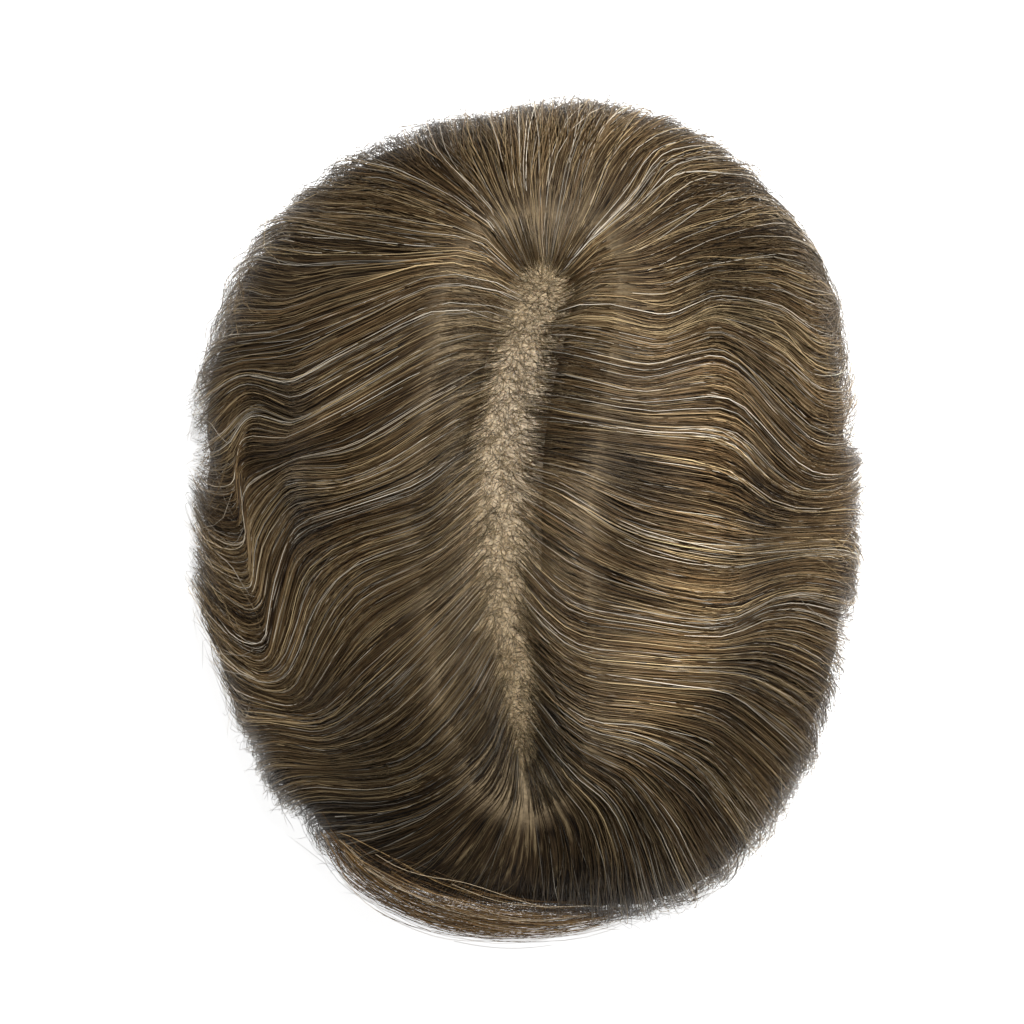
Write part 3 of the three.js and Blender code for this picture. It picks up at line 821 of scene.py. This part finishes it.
def lay_strands(form, strands, colours, rng, hairs, places):
    """A batch of hairs that follow the lie of the hair, from where each shows to its end."""
    lines, roots, starts, ends, depths = (hairs[:, column, None] for column in range(5))
    count = len(hairs)
    along = np.linspace(0, 1, places)[None]
    share = form.spaced_shares(hairs[:, 0], hairs[:, 2], hairs[:, 3], places)
    grown = smooth_step(share - roots, 0, 0.5)
    group = rng.integers(0, WISP_GROUPS, count)[:, None]
    line, middle, wisps = gathered(lines, share, group)
    own = own_noise(rng, share * 3.5, seed=12)
    own *= 1 - smooth_step(share, 0.5, 0.72)
    loose = 1 + 1.2 * near_back(lines, 2.5, 5)
    line = line + (rng.normal(0, STRAYING, count)[:, None] + STRAYING_IN_WAVES * own) * grown * loose
    swept = TRESS_SWEEP * soft_noise(lines * 1.5, 0 * lines, seed=33, period=LINE_COUNT * 3 // 2)
    line = line + (swept + rng.normal(0, END_SWEEP, count)[:, None]) * smooth_step(share, 0.6, 0.95)
    surfacing = 1 - (roots / np.maximum(share, TINY_REACH)) ** 3
    from_root = (share - roots) * form.crown_to_hem
    rising = smooth_step(from_root, 0, RISING)
    flat = form.flat(line, share)
    reach = np.linalg.norm(flat, axis=-1)
    lift = (WISP_RISE * middle - WISP_SUNK + rng.normal(0, LIFT_SPREAD, count)[:, None]) * rising
    lift -= ROOT_DEPTH * (1 - rising) + depths * smooth_step(from_root, *SINKING)
    lift += rng.normal(RIM_LIFT, RIM_LIFT_SPREAD, count)[:, None] * smooth_step(reach, 0.5, 0.75)
    least = LEAST_OVER_BASE * rising - ROOT_DEPTH * (1 - rising)
    paths = form.point(line, share, np.clip(surfacing, 0, 1) * rising, lift, least)
    outward = form.outward(flat)
    width = strands.hair_width * np.exp(rng.normal(0, 0.2, count))[:, None]
    thickened = 0.55 + 0.45 * smooth_step(from_root, 0, THICKENING)
    radius = width * 0.5 * (1 - 0.6 * smooth_step(along, 0.55, 1.0)) * thickened
    # Painted glints: short lighter and darker stretches along each hair.
    painted_glint = own_noise(rng, share * 13, seed=15)
    streaks = soft_noise(lines * 12, share * 6, seed=14, period=LINE_COUNT * 12)
    shade = 1 + STREAK_SHADE * streaks + PAINTED_GLINTS * painted_glint
    # Painted light on the top hairs and painted shade on the deeper ones, then painted light and shade by
    # place.
    light = PAINTED_LIGHT_ON_TOP - PAINTED_SHADE_BELOW * (depths - SHALLOWEST) / (DEEPEST - SHALLOWEST)
    shade *= painted_lightness(flat) * light
    # Painted shade at the edges of each wisp and painted light at its middle, away from the parting.
    shade *= 1 + (0.48 * middle - 0.28) * smooth_step(share, 0.04, 0.2)
    own_colour = hair_colours(rng, lines[:, 0], roots[:, 0], wisps[:, -1], colours)
    colour = with_painted_rim_sheen(own_colour[:, None] * shade[..., None], reach)
    return paths, outward, np.broadcast_to(radius, (count, places)), np.clip(colour, DARKEST, 1)


def in_batches(form, strands, colours, rng, hairs):
    """Batches of hairs of like length, so that a long hair has more places than a short one."""
    lengths = form.measure(hairs[:, 0], hairs[:, 2], hairs[:, 3])
    wanted = np.clip(np.ceil(lengths / strands.segment / 2) * 2 + 1, FEWEST_PLACES, MOST_PLACES).astype(int)
    return [
        lay_strands(form, strands, colours, rng, hairs[wanted == places], int(places))
        for places in np.unique(wanted)
    ]


def spread_roots(form, rng, count, reach, crowding):
    """Line numbers and root shares of hairs, spread over the base by a crowding that depends on both."""
    lines = rng.uniform(0, LINE_COUNT, count * 16)
    roots = rng.uniform(0, reach, count * 16)
    step = 0.02
    here = form.inside(form.flat(lines, roots))
    beside = form.inside(form.flat(lines + step, roots))
    further = form.inside(form.flat(lines, roots + step))
    area = np.linalg.norm(np.cross(beside - here, further - here), axis=-1)
    weight = area * crowding(lines, roots)
    kept = np.flatnonzero(rng.random(len(lines)) < weight / np.quantile(weight, 0.98))[:count]
    return lines[kept], roots[kept]


def near_back(lines, low, high):
    """1 on the lines that leave the whorl for the back, easing to 0 between two distances in lines."""
    return 1 - smooth_step(np.abs((lines + LINE_COUNT / 2) % LINE_COUNT - LINE_COUNT / 2), low, high)


def crowded_near_parting(lines, roots):
    """Crowding of the long hairs: thickest beside the parting and behind the whorl, none on the parting."""
    behind = near_back(lines, 2.5, 5)
    gap = 0.004 + 0.01 * near_back(lines, 8, 11) + 0.012 * behind
    gap += 0.008 * soft_noise(lines * 2.5, 0 * lines, seed=21, period=LINE_COUNT * 5 // 2)
    beside = 1 + 6 * (1 - smooth_step(roots, 0.03 + 0.05 * behind, 0.13 + 0.25 * behind))
    beside *= 1 + 3 * behind * (1 - smooth_step(roots, 0.04, 0.14))
    return beside * (1 - 0.6 * smooth_step(roots, 0.2, 0.4)) * smooth_step(roots, gap, gap + 0.05)


def thinning_out(lines, roots):
    """Crowding of the short root hairs, which thin out away from the parting."""
    return 1 - 0.85 * smooth_step(roots, 0.02 + 0.04 * near_back(lines, 3, 5), 0.12)


def lay_root_hairs(form, strands, colours, rng, lines, roots):
    """Short hairs that leave the skin beside the parting at all angles and bend to the lie of the rest."""
    count, places = len(lines), 3
    step = 0.01
    start = form.packed_top(lines, roots)
    ahead = form.packed_top(lines, roots + step) - start
    aside = form.packed_top(lines + step, roots) - start
    up = np.cross(ahead, aside)
    up *= np.sign(up[:, 2:])
    ahead, up = (side / np.linalg.norm(side, axis=-1, keepdims=True) for side in (ahead, up))
    across = np.cross(up, ahead)
    along = np.linspace(0, 1, places)[None, :, None]
    length = rng.uniform(*ROOT_LENGTHS, count)[:, None, None]
    spread = 1.5 - 0.8 * smooth_step(roots, 0.01, 0.05)
    angle = (rng.normal(0, 1, count) * spread)[:, None, None] * (1 - 0.5 * along)
    behind = rng.uniform(0, 0.6, count)[:, None, None]
    way = np.cos(angle) * ahead[:, None] + np.sin(angle) * across[:, None]
    paths = start[:, None] + length * (along - behind) * way
    height = rng.uniform(*ROOT_HEIGHTS, count)[:, None, None]
    paths = paths + up[:, None] * (height * np.sin(along * 2.2) + 0.0006 * along)
    radius = strands.hair_width * rng.uniform(*ROOT_RADII, count)[:, None] * (1 - 0.4 * along[..., 0])
    tone = rng.uniform(0, 1, count)[:, None] ** 1.6
    colour = np.array(colours.dark) * (1 - tone) + np.array(colours.golden) * tone
    colour = np.repeat(colour[:, None], places, axis=1)
    return paths, np.broadcast_to(up[:, None], paths.shape), radius, colour


def lay_strays(form, strands, colours, rng, count):
    """Fine hairs that leave the rest near the rim, or here and there on top, and sweep out in curls."""
    places = 8
    along = np.linspace(0, 1, places)[None]
    lines = rng.uniform(0, LINE_COUNT, count)[:, None]
    on_rim = (rng.random(count) < STRAYS_ON_RIM)[:, None]
    rim_starts = rng.uniform(*RIM_STRAY_STARTS, count)[:, None]
    top_starts = rng.uniform(*TOP_STRAY_STARTS, count)[:, None]
    starts = np.where(on_rim, rim_starts, top_starts)
    ends = starts + rng.uniform(*STRAY_RUNS, count)[:, None]
    share = np.minimum(starts + (ends - starts) * along, LOWEST_LOOSE)
    sweep = rng.normal(0, 1, count)[:, None] * np.where(on_rim, 0.6, 0.12) * along**1.4
    curl = np.sin((rng.uniform(0.6, 1.6, count)[:, None] * along + rng.random(count)[:, None]) * 2 * math.pi)
    sweep += np.where(on_rim, 0.07, 0.0) * curl * smooth_step(along, 0, 0.4)
    rim_stand = rng.exponential(RIM_STRAY_STAND, count)[:, None]
    top_stand = rng.exponential(TOP_STRAY_STAND, count)[:, None]
    stand = np.minimum(np.where(on_rim, rim_stand, top_stand), FURTHEST_STRAY)
    sunk = np.where(on_rim, rng.uniform(*RIM_STRAY_DEPTHS, count)[:, None], TOP_STRAY_DEPTH)
    lift = stand * along**1.3 - sunk
    paths = form.point(lines + sweep, share, np.ones_like(share), lift)
    flat = form.flat(lines + sweep, share)
    outward = form.outward(flat)
    radius = strands.hair_width * rng.uniform(*STRAY_RADII, count)[:, None] * (1 - 0.4 * along)
    own_colour = hair_colours(rng, lines[:, 0], starts[:, 0], np.zeros(count, int), colours)
    reach = np.linalg.norm(flat, axis=-1)
    # The stray hairs take the painted light and shade by place and the painted sheen at the rim.
    return paths, outward, radius, with_painted_rim_sheen(own_colour[:, None] * painted_lightness(flat)[..., None], reach)


def lay_front_curl(form, strands, colours, rng, count):
    """A loose flat bundle that leaves the hair at the right of the front and sweeps round it to a point."""
    places = 14
    marks = smooth_curve(np.array(FRONT_CURL, float), np.linspace(0, 1, 60), closed=False)
    first = rng.uniform(0, 0.5, count)[:, None]
    last = first + (1 - first) * rng.uniform(0.45, 1, count)[:, None]
    along = first + (last - first) * np.linspace(0, 1, places)[None]
    columns = [np.interp(along, np.linspace(0, 1, len(marks)), marks[:, column]) for column in range(3)]
    spread = np.sin(np.clip(along, 0, 1) * math.pi) ** 0.6 + 0.15
    deep = rng.normal(0, 1, count)[:, None]
    deep = deep + 0.5 * own_noise(rng, along * 4, seed=42)
    deep = np.where(deep < 0, 0.55 * deep, deep)
    bearing = np.radians(columns[0] + rng.normal(0, 2, count)[:, None])
    share = np.clip(columns[1] + CURL_BREADTH * (deep - 0.6) * spread, 0.45, LOWEST_LOOSE)
    flat = flat_place(bearing, share)
    outward = form.outward(flat)
    stand = columns[2] + rng.normal(CURL_STAND, CURL_STAND_SPREAD, count)[:, None] * spread
    stand += CURL_WAVE * own_noise(rng, along * 5, seed=43)
    paths = form.outside(flat) + outward * stand[..., None]
    radius = strands.hair_width * rng.uniform(*CURL_RADII, count)[:, None] * (1 - 0.5 * along)
    own_colour = hair_colours(rng, 17 + 0 * first[:, 0], 0 * first[:, 0], np.zeros(count, int), colours)
    own_colour = own_colour * np.array(CURL_TINT)
    return paths, outward, radius, np.repeat(own_colour[:, None], places, axis=1)


# Materials


def new_material(name):
    material = bpy.data.materials.new(name)
    material.use_nodes = True
    nodes = material.node_tree.nodes
    return material, nodes, material.node_tree.links, nodes["Principled BSDF"]


def hair_material():
    """Smooth hairs whose colour comes from each hair's own attribute, a little uneven along its length."""
    material, nodes, links, shader = new_material("single hair")
    own = nodes.new("ShaderNodeAttribute")
    own.attribute_name = "hair_colour"
    place = nodes.new("ShaderNodeTexCoord")
    noise = nodes.new("ShaderNodeTexNoise")
    noise.inputs["Scale"].default_value = 90
    noise.inputs["Detail"].default_value = 2
    span = nodes.new("ShaderNodeMapRange")
    span.inputs["To Min"].default_value = 0.75
    span.inputs["To Max"].default_value = 1.25
    tint = nodes.new("ShaderNodeVectorMath")
    tint.operation = "SCALE"
    links.new(place.outputs["Object"], noise.inputs["Vector"])
    links.new(noise.outputs["Fac"], span.inputs["Value"])
    links.new(own.outputs["Color"], tint.inputs[0])
    links.new(span.outputs["Result"], tint.inputs["Scale"])
    links.new(tint.outputs["Vector"], shader.inputs["Base Color"])
    shader.inputs["Roughness"].default_value = 0.34
    shader.inputs["Specular IOR Level"].default_value = 0.32
    shader.inputs["Specular Tint"].default_value = (1, 0.88, 0.7, 1)
    return material


def share_range(nodes, links, share, between, values):
    """A value that eases from one to another between two shares of the way from the parting to the hem."""
    span = nodes.new("ShaderNodeMapRange")
    span.interpolation_type = "SMOOTHSTEP"
    span.inputs["From Min"].default_value, span.inputs["From Max"].default_value = between
    span.inputs["To Min"].default_value, span.inputs["To Max"].default_value = values
    links.new(share, span.inputs["Value"])
    return span.outputs["Result"]


def tone_ramp(nodes, stops):
    """A colour ramp from stops, each of a position, a brightness and a colour."""
    tones = nodes.new("ShaderNodeValToRGB")
    ramp = tones.color_ramp
    while len(ramp.elements) < len(stops):
        ramp.elements.new(1)
    for element, (position, brightness, colour) in zip(ramp.elements, stops):
        element.position = position
        element.color = (*(brightness * part for part in colour), 1)
    return tones


def skin_mottle(nodes, links):
    """Fine noise over the skin."""
    place = nodes.new("ShaderNodeTexCoord")
    mottle = nodes.new("ShaderNodeTexNoise")
    mottle.inputs["Scale"].default_value = 1100
    mottle.inputs["Detail"].default_value = 3
    links.new(place.outputs["Object"], mottle.inputs["Vector"])
    return mottle.outputs["Fac"]


def mass_material(colours):
    """Packed hair seen between the single ones, its tones darkened as painted shade: fine and coarse fibres
    that run along its lie.
    """
    material, nodes, links, shader = new_material("packed hair")
    lie = nodes.new("ShaderNodeUVMap")
    lie.uv_map = "lie_of_hair"
    fibres = []
    for scale in ((1500, 12, 1), (480, 8, 1)):
        stretch = nodes.new("ShaderNodeMapping")
        stretch.inputs["Scale"].default_value = scale
        noise = nodes.new("ShaderNodeTexNoise")
        noise.inputs["Scale"].default_value = 1
        noise.inputs["Detail"].default_value = 3
        noise.inputs["Roughness"].default_value = 0.65
        links.new(lie.outputs["UV"], stretch.inputs["Vector"])
        links.new(stretch.outputs["Vector"], noise.inputs["Vector"])
        fibres.append(noise)
    split = nodes.new("ShaderNodeSeparateXYZ")
    links.new(lie.outputs["UV"], split.inputs["Vector"])
    coarseness = share_range(nodes, links, split.outputs["Y"], (0.15, 0.45), (0.75, 0.35))
    bareness = share_range(nodes, links, split.outputs["Y"], (0.08, 0.2), (1, 0))
    both = nodes.new("ShaderNodeMix")
    links.new(coarseness, both.inputs["Factor"])
    # The hair colours are darkened to between a fifth and a third: painted shade in the gaps between the
    # single hairs.
    tones = tone_ramp(
        nodes, ((0.38, 0.2, colours.dark), (0.52, 0.28, colours.brown), (0.66, 0.35, colours.golden))
    )
    mottle = skin_mottle(nodes, links)
    beside = tone_ramp(nodes, ((0.36, 0.7, colours.skin), (0.6, 1.2, colours.skin)))
    blend = nodes.new("ShaderNodeMix")
    blend.data_type = "RGBA"
    links.new(bareness, blend.inputs["Factor"])
    links.new(tones.outputs["Color"], blend.inputs[6])
    links.new(beside.outputs["Color"], blend.inputs[7])
    links.new(mottle, beside.inputs["Fac"])
    relief = nodes.new("ShaderNodeBump")
    relief.inputs["Strength"].default_value = 1
    relief.inputs["Distance"].default_value = 0.0006
    links.new(fibres[0].outputs["Fac"], both.inputs["A"])
    links.new(fibres[1].outputs["Fac"], both.inputs["B"])
    links.new(both.outputs["Result"], tones.inputs["Fac"])
    links.new(blend.outputs[2], shader.inputs["Base Color"])
    links.new(both.outputs["Result"], relief.inputs["Height"])
    links.new(relief.outputs["Normal"], shader.inputs["Normal"])
    shader.inputs["Roughness"].default_value = 0.7
    shader.inputs["Specular IOR Level"].default_value = 0.12
    return material


def skin_material(colours):
    """Thin pale skin, slightly mottled, with a dark knot at each root."""
    material, nodes, links, shader = new_material("skin base")
    place = nodes.new("ShaderNodeTexCoord")
    mottle = skin_mottle(nodes, links)
    tones = tone_ramp(nodes, ((0.36, 1.0, colours.skin), (0.6, 1.5, colours.skin)))
    knots = nodes.new("ShaderNodeTexVoronoi")
    knots.inputs["Scale"].default_value = 620
    dots = nodes.new("ShaderNodeMapRange")
    dots.interpolation_type = "SMOOTHSTEP"
    dots.inputs["From Min"].default_value = 0.12
    dots.inputs["From Max"].default_value = 0.24
    dots.inputs["To Min"].default_value = 0.35
    dots.inputs["To Max"].default_value = 1.0
    knotted = nodes.new("ShaderNodeVectorMath")
    knotted.operation = "SCALE"
    relief = nodes.new("ShaderNodeBump")
    relief.inputs["Strength"].default_value = 0.35
    relief.inputs["Distance"].default_value = 0.0003
    links.new(place.outputs["Object"], knots.inputs["Vector"])
    links.new(mottle, tones.inputs["Fac"])
    links.new(knots.outputs["Distance"], dots.inputs["Value"])
    links.new(tones.outputs["Color"], knotted.inputs[0])
    links.new(dots.outputs["Result"], knotted.inputs["Scale"])
    links.new(knotted.outputs["Vector"], shader.inputs["Base Color"])
    links.new(mottle, relief.inputs["Height"])
    links.new(relief.outputs["Normal"], shader.inputs["Normal"])
    shader.inputs["Roughness"].default_value = 0.5
    shader.inputs["Subsurface Weight"].default_value = 0.15
    shader.inputs["Subsurface Radius"].default_value = (0.004, 0.002, 0.001)
    return material


def plain_material(name, colour, roughness):
    material, _, _, shader = new_material(name)
    shader.inputs["Base Color"].default_value = (*colour, 1)
    shader.inputs["Roughness"].default_value = roughness
    return material


# Operators, one for each piece or group of like pieces


def start_piece():
    """Leaves nothing selected, so that the next primitive is the only thing that its tools act on."""
    bpy.ops.object.select_all(action="DESELECT")


def apply_modifier(piece, kind, **settings):
    modifier = piece.modifiers.new(kind.title(), kind)
    for name, value in settings.items():
        setattr(modifier, name, value)
    bpy.ops.object.modifier_apply(modifier=modifier.name)


def moved_points(piece, move):
    """Moves every point of a piece by a function of the whole array of them."""
    mesh = piece.data
    points = np.empty(len(mesh.vertices) * 3)
    mesh.vertices.foreach_get("co", points)
    mesh.vertices.foreach_set("co", move(points.reshape(-1, 3)).ravel())
    mesh.update()


def dressed(piece, material, slot, *replaced):
    """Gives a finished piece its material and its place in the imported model."""
    piece.data.materials.clear()
    piece.data.materials.append(material)
    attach(piece, "root")
    if replaced:
        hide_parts(*replaced)
    return piece


class HAIRPIECE_OT_add_stage(bpy.types.Operator):
    """Add the floor, the lights and the camera"""

    bl_idname = "hairpiece.add_stage"
    bl_label = "Add Stage"

    def execute(self, context):
        stage = context.scene.hairpiece_stage
        start_piece()
        bpy.ops.mesh.primitive_plane_add(size=stage.floor_size, location=(0, 0, 0))
        floor = context.active_object
        floor.name = "floor"
        pale = plain_material("pale floor", (0.85, 0.85, 0.85), 0.7)
        pale.node_tree.nodes["Principled BSDF"].inputs["Emission Color"].default_value = (1, 1, 1, 1)
        pale.node_tree.nodes["Principled BSDF"].inputs["Emission Strength"].default_value = stage.floor_glow
        floor.data.materials.append(pale)

        world = bpy.data.worlds.new("pale room")
        world.use_nodes = True
        background = world.node_tree.nodes["Background"]
        background.inputs["Color"].default_value = (1, 1, 1, 1)
        background.inputs["Strength"].default_value = stage.room
        context.scene.world = world
        context.scene.view_settings.view_transform = "Standard"

        self._add_light("overhead light", (0.3, 0.42, 1.2), stage.overhead, 0.4)
        self._add_light("left light", (1.1, 0.1, 0.5), stage.left_side, 0.6)
        self._add_light("right light", (-1.1, 0.1, 0.5), stage.right_side, 0.6)

        camera = bpy.data.objects.new("camera", bpy.data.cameras.new("camera"))
        camera.data.lens = stage.lens
        camera.data.clip_start = 0.01
        camera.location = (stage.camera_x, stage.camera_y, stage.camera_height)
        context.collection.objects.link(camera)
        context.scene.camera = camera
        return {"FINISHED"}

    def _add_light(self, name, place, power, size):
        light = bpy.data.lights.new(name, "AREA")
        light.energy = power
        light.size = size
        lamp = bpy.data.objects.new(name, light)
        lamp.location = place
        towards = -lamp.location
        lamp.rotation_euler = towards.to_track_quat("-Z", "Y").to_euler()
        bpy.context.collection.objects.link(lamp)


class HAIRPIECE_OT_add_skin_base(bpy.types.Operator):
    """Add the thin domed base that the hair is knotted into"""

    bl_idname = "hairpiece.add_skin_base"
    bl_label = "Add Skin Base"

    def execute(self, context):
        form = HairForm(context.scene.hairpiece_shape)
        start_piece()
        bpy.ops.mesh.primitive_uv_sphere_add(segments=96, ring_count=48, radius=1)
        base = context.active_object
        base.name = "thin_skin_base"
        bpy.ops.object.mode_set(mode="EDIT")
        bpy.ops.mesh.select_all(action="SELECT")
        bpy.ops.mesh.bisect(plane_co=(0, 0, 0), plane_no=(0, 0, 1), clear_inner=True, use_fill=False)
        bpy.ops.object.mode_set(mode="OBJECT")

        def on_the_oval(points):
            bearing = np.arctan2(points[:, 1], points[:, 0])
            plan = points[:, :2] * base_reach(bearing)[:, None] * form.base_half + form.middle
            height = form.rim_height + points[:, 2] * form.base_rise
            return np.concatenate([plan, height[:, None]], axis=1)

        moved_points(base, on_the_oval)
        wall = context.scene.hairpiece_shape.base_wall
        apply_modifier(base, "SOLIDIFY", thickness=wall, offset=-1, use_even_offset=True)
        bpy.ops.object.shade_smooth_by_angle(angle=math.radians(40))
        dressed(base, skin_material(context.scene.hairpiece_colours), "skin_base", "skin_base")
        return {"FINISHED"}


class HAIRPIECE_OT_add_hair_mass(bpy.types.Operator):
    """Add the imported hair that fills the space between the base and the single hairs"""

    bl_idname = "hairpiece.add_hair_mass"
    bl_label = "Add Hair Mass"

    COLUMNS = 208
    ROWS = 96

    def execute(self, context):
        form = HairForm(context.scene.hairpiece_shape)
        start_piece()
        bpy.ops.mesh.primitive_torus_add(
            major_segments=self.COLUMNS, minor_segments=self.ROWS, major_radius=1, minor_radius=0.5
        )
        mass = context.active_object
        mass.name = "packed_hair"
        count = self.COLUMNS * self.ROWS
        place = np.arange(count)
        line = (place // self.ROWS) / self.COLUMNS * LINE_COUNT
        turn = (place % self.ROWS) / self.ROWS
        outer = turn < 0.5
        way = np.where(outer, turn * 2, 2 - turn * 2)
        start = form.BARE_STRIP / form.crown_to_hem
        share = start + (1 - start) * way
        on_top = (outer | (way >= 1))[:, None]
        top = form.packed_top(line, share)
        seat = form.point(line, share, 0.0, form.rooting(way))
        moved_points(mass, lambda points: np.where(on_top, top, seat))
        self._mark_lie(mass, line, share)
        start_piece()
        mass.select_set(True)
        bpy.ops.object.mode_set(mode="EDIT")
        bpy.ops.mesh.select_all(action="SELECT")
        bpy.ops.mesh.normals_make_consistent(inside=False)
        bpy.ops.object.mode_set(mode="OBJECT")
        bpy.ops.object.shade_smooth()
        dressed(
            mass, mass_material(context.scene.hairpiece_colours), "hair",
            "hair_left_side", "hair_right_side", "hair_back",
        )
        return {"FINISHED"}

    def _mark_lie(self, mass, line, share):
        """A UV map of line number and share, kept whole where the line numbers start again."""
        mesh = mass.data
        corners = np.empty(len(mesh.loops), np.int32)
        mesh.loops.foreach_get("vertex_index", corners)
        across = line[corners].reshape(-1, 4)
        wrapped = across.max(axis=1, keepdims=True) - across > LINE_COUNT / 2
        across = (across + wrapped * LINE_COUNT) / LINE_COUNT
        while mesh.uv_layers:
            mesh.uv_layers.remove(mesh.uv_layers[0])
        layer = mesh.uv_layers.new(name="lie_of_hair")
        layer.uv.foreach_set("vector", np.stack([across.ravel(), share[corners]], axis=1).ravel())


class HAIRPIECE_OT_add_strands(bpy.types.Operator):
    """Add the single hairs that sweep from the parting to the hem"""

    bl_idname = "hairpiece.add_strands"
    bl_label = "Add Single Hairs"

    FURTHEST_ROOT = 0.74
    RAGGED_HEM = 0.035
    SHORTEST_SHOWN = 0.05

    def execute(self, context):
        scene = context.scene
        strands = scene.hairpiece_strands
        form = HairForm(scene.hairpiece_shape)
        rng = np.random.default_rng(20)
        material = hair_material()
        part = 1
        count = strands.count // part
        lines, roots = spread_roots(form, rng, count, self.FURTHEST_ROOT, crowded_near_parting)
        lengths = rng.uniform(strands.shortest, strands.longest, len(lines)) / form.crown_to_hem
        ends = np.minimum(roots + lengths, 1.0 - self.RAGGED_HEM * rng.random(len(lines)) ** 2)
        depths = rng.uniform(SHALLOWEST, DEEPEST, len(lines))
        hidden = smooth_step(roots, 0.07, 0.12)
        starts = roots * (1 + 0.6 * hidden)
        shown = ends - starts > self.SHORTEST_SHOWN
        hairs = np.stack([lines, roots, starts, ends, depths], axis=1)[shown]
        for name, first_line, last_line in STRAND_PIECES:
            numbers = first_line + (hairs[:, 0] - first_line) % LINE_COUNT
            batches = in_batches(form, strands, scene.hairpiece_colours, rng, hairs[numbers < last_line])
            dressed(join_strands(name, batches), material, "hair")
        return {"FINISHED"}


class HAIRPIECE_OT_add_loose_hairs(bpy.types.Operator):
    """Add the short hairs beside the parting, the stray hairs all round and the loose curl at the front"""

    bl_idname = "hairpiece.add_loose_hairs"
    bl_label = "Add Loose Hairs"

    ROOT_REACH = 0.12

    def execute(self, context):
        scene = context.scene
        strands = scene.hairpiece_strands
        colours = scene.hairpiece_colours
        form = HairForm(scene.hairpiece_shape)
        rng = np.random.default_rng(21)
        material = hair_material()
        part = 1
        lines, roots = spread_roots(form, rng, strands.root_count // part, self.ROOT_REACH, thinning_out)
        batches = {
            "parting_roots": lay_root_hairs(form, strands, colours, rng, lines, roots),
            "stray_hairs": lay_strays(form, strands, colours, rng, strands.stray_count // part),
            "front_curl": lay_front_curl(form, strands, colours, rng, strands.curl_count // part),
        }
        for name, batch in batches.items():
            dressed(join_strands(name, [batch]), material, "hair")
        return {"FINISHED"}


class HAIRPIECE_PT_sidebar(bpy.types.Panel):
    """Sizes, colours and pieces of the hairpiece"""

    bl_idname = "HAIRPIECE_PT_sidebar"
    bl_label = "Hairpiece"
    bl_space_type = "VIEW_3D"
    bl_region_type = "UI"
    bl_category = "Hairpiece"

    def draw(self, context):
        for operator in OPERATORS:
            self.layout.operator(operator.bl_idname)
        for group in (name for name, _ in SETTINGS):
            box = self.layout.box()
            settings = getattr(context.scene, group)
            for name in settings.__annotations__:
                box.prop(settings, name)


SETTINGS = (
    ("hairpiece_shape", HairpieceShape),
    ("hairpiece_strands", HairpieceStrands),
    ("hairpiece_colours", HairpieceColours),
    ("hairpiece_stage", HairpieceStage),
)
OPERATORS = (
    HAIRPIECE_OT_add_stage,
    HAIRPIECE_OT_add_skin_base,
    HAIRPIECE_OT_add_hair_mass,
    HAIRPIECE_OT_add_strands,
    HAIRPIECE_OT_add_loose_hairs,
)


def register():
    for name, group in SETTINGS:
        bpy.utils.register_class(group)
        setattr(bpy.types.Scene, name, PointerProperty(type=group))
    for operator in OPERATORS:
        bpy.utils.register_class(operator)
    bpy.utils.register_class(HAIRPIECE_PT_sidebar)


def unregister():
    bpy.utils.unregister_class(HAIRPIECE_PT_sidebar)
    for operator in reversed(OPERATORS):
        bpy.utils.unregister_class(operator)
    for name, group in reversed(SETTINGS):
        delattr(bpy.types.Scene, name)
        bpy.utils.unregister_class(group)


def main():
    register()
    bpy.ops.hairpiece.add_stage()
    bpy.ops.hairpiece.add_skin_base()
    bpy.ops.hairpiece.add_hair_mass()
    bpy.ops.hairpiece.add_strands()
    bpy.ops.hairpiece.add_loose_hairs()


if __name__ == "__main__":
    main()
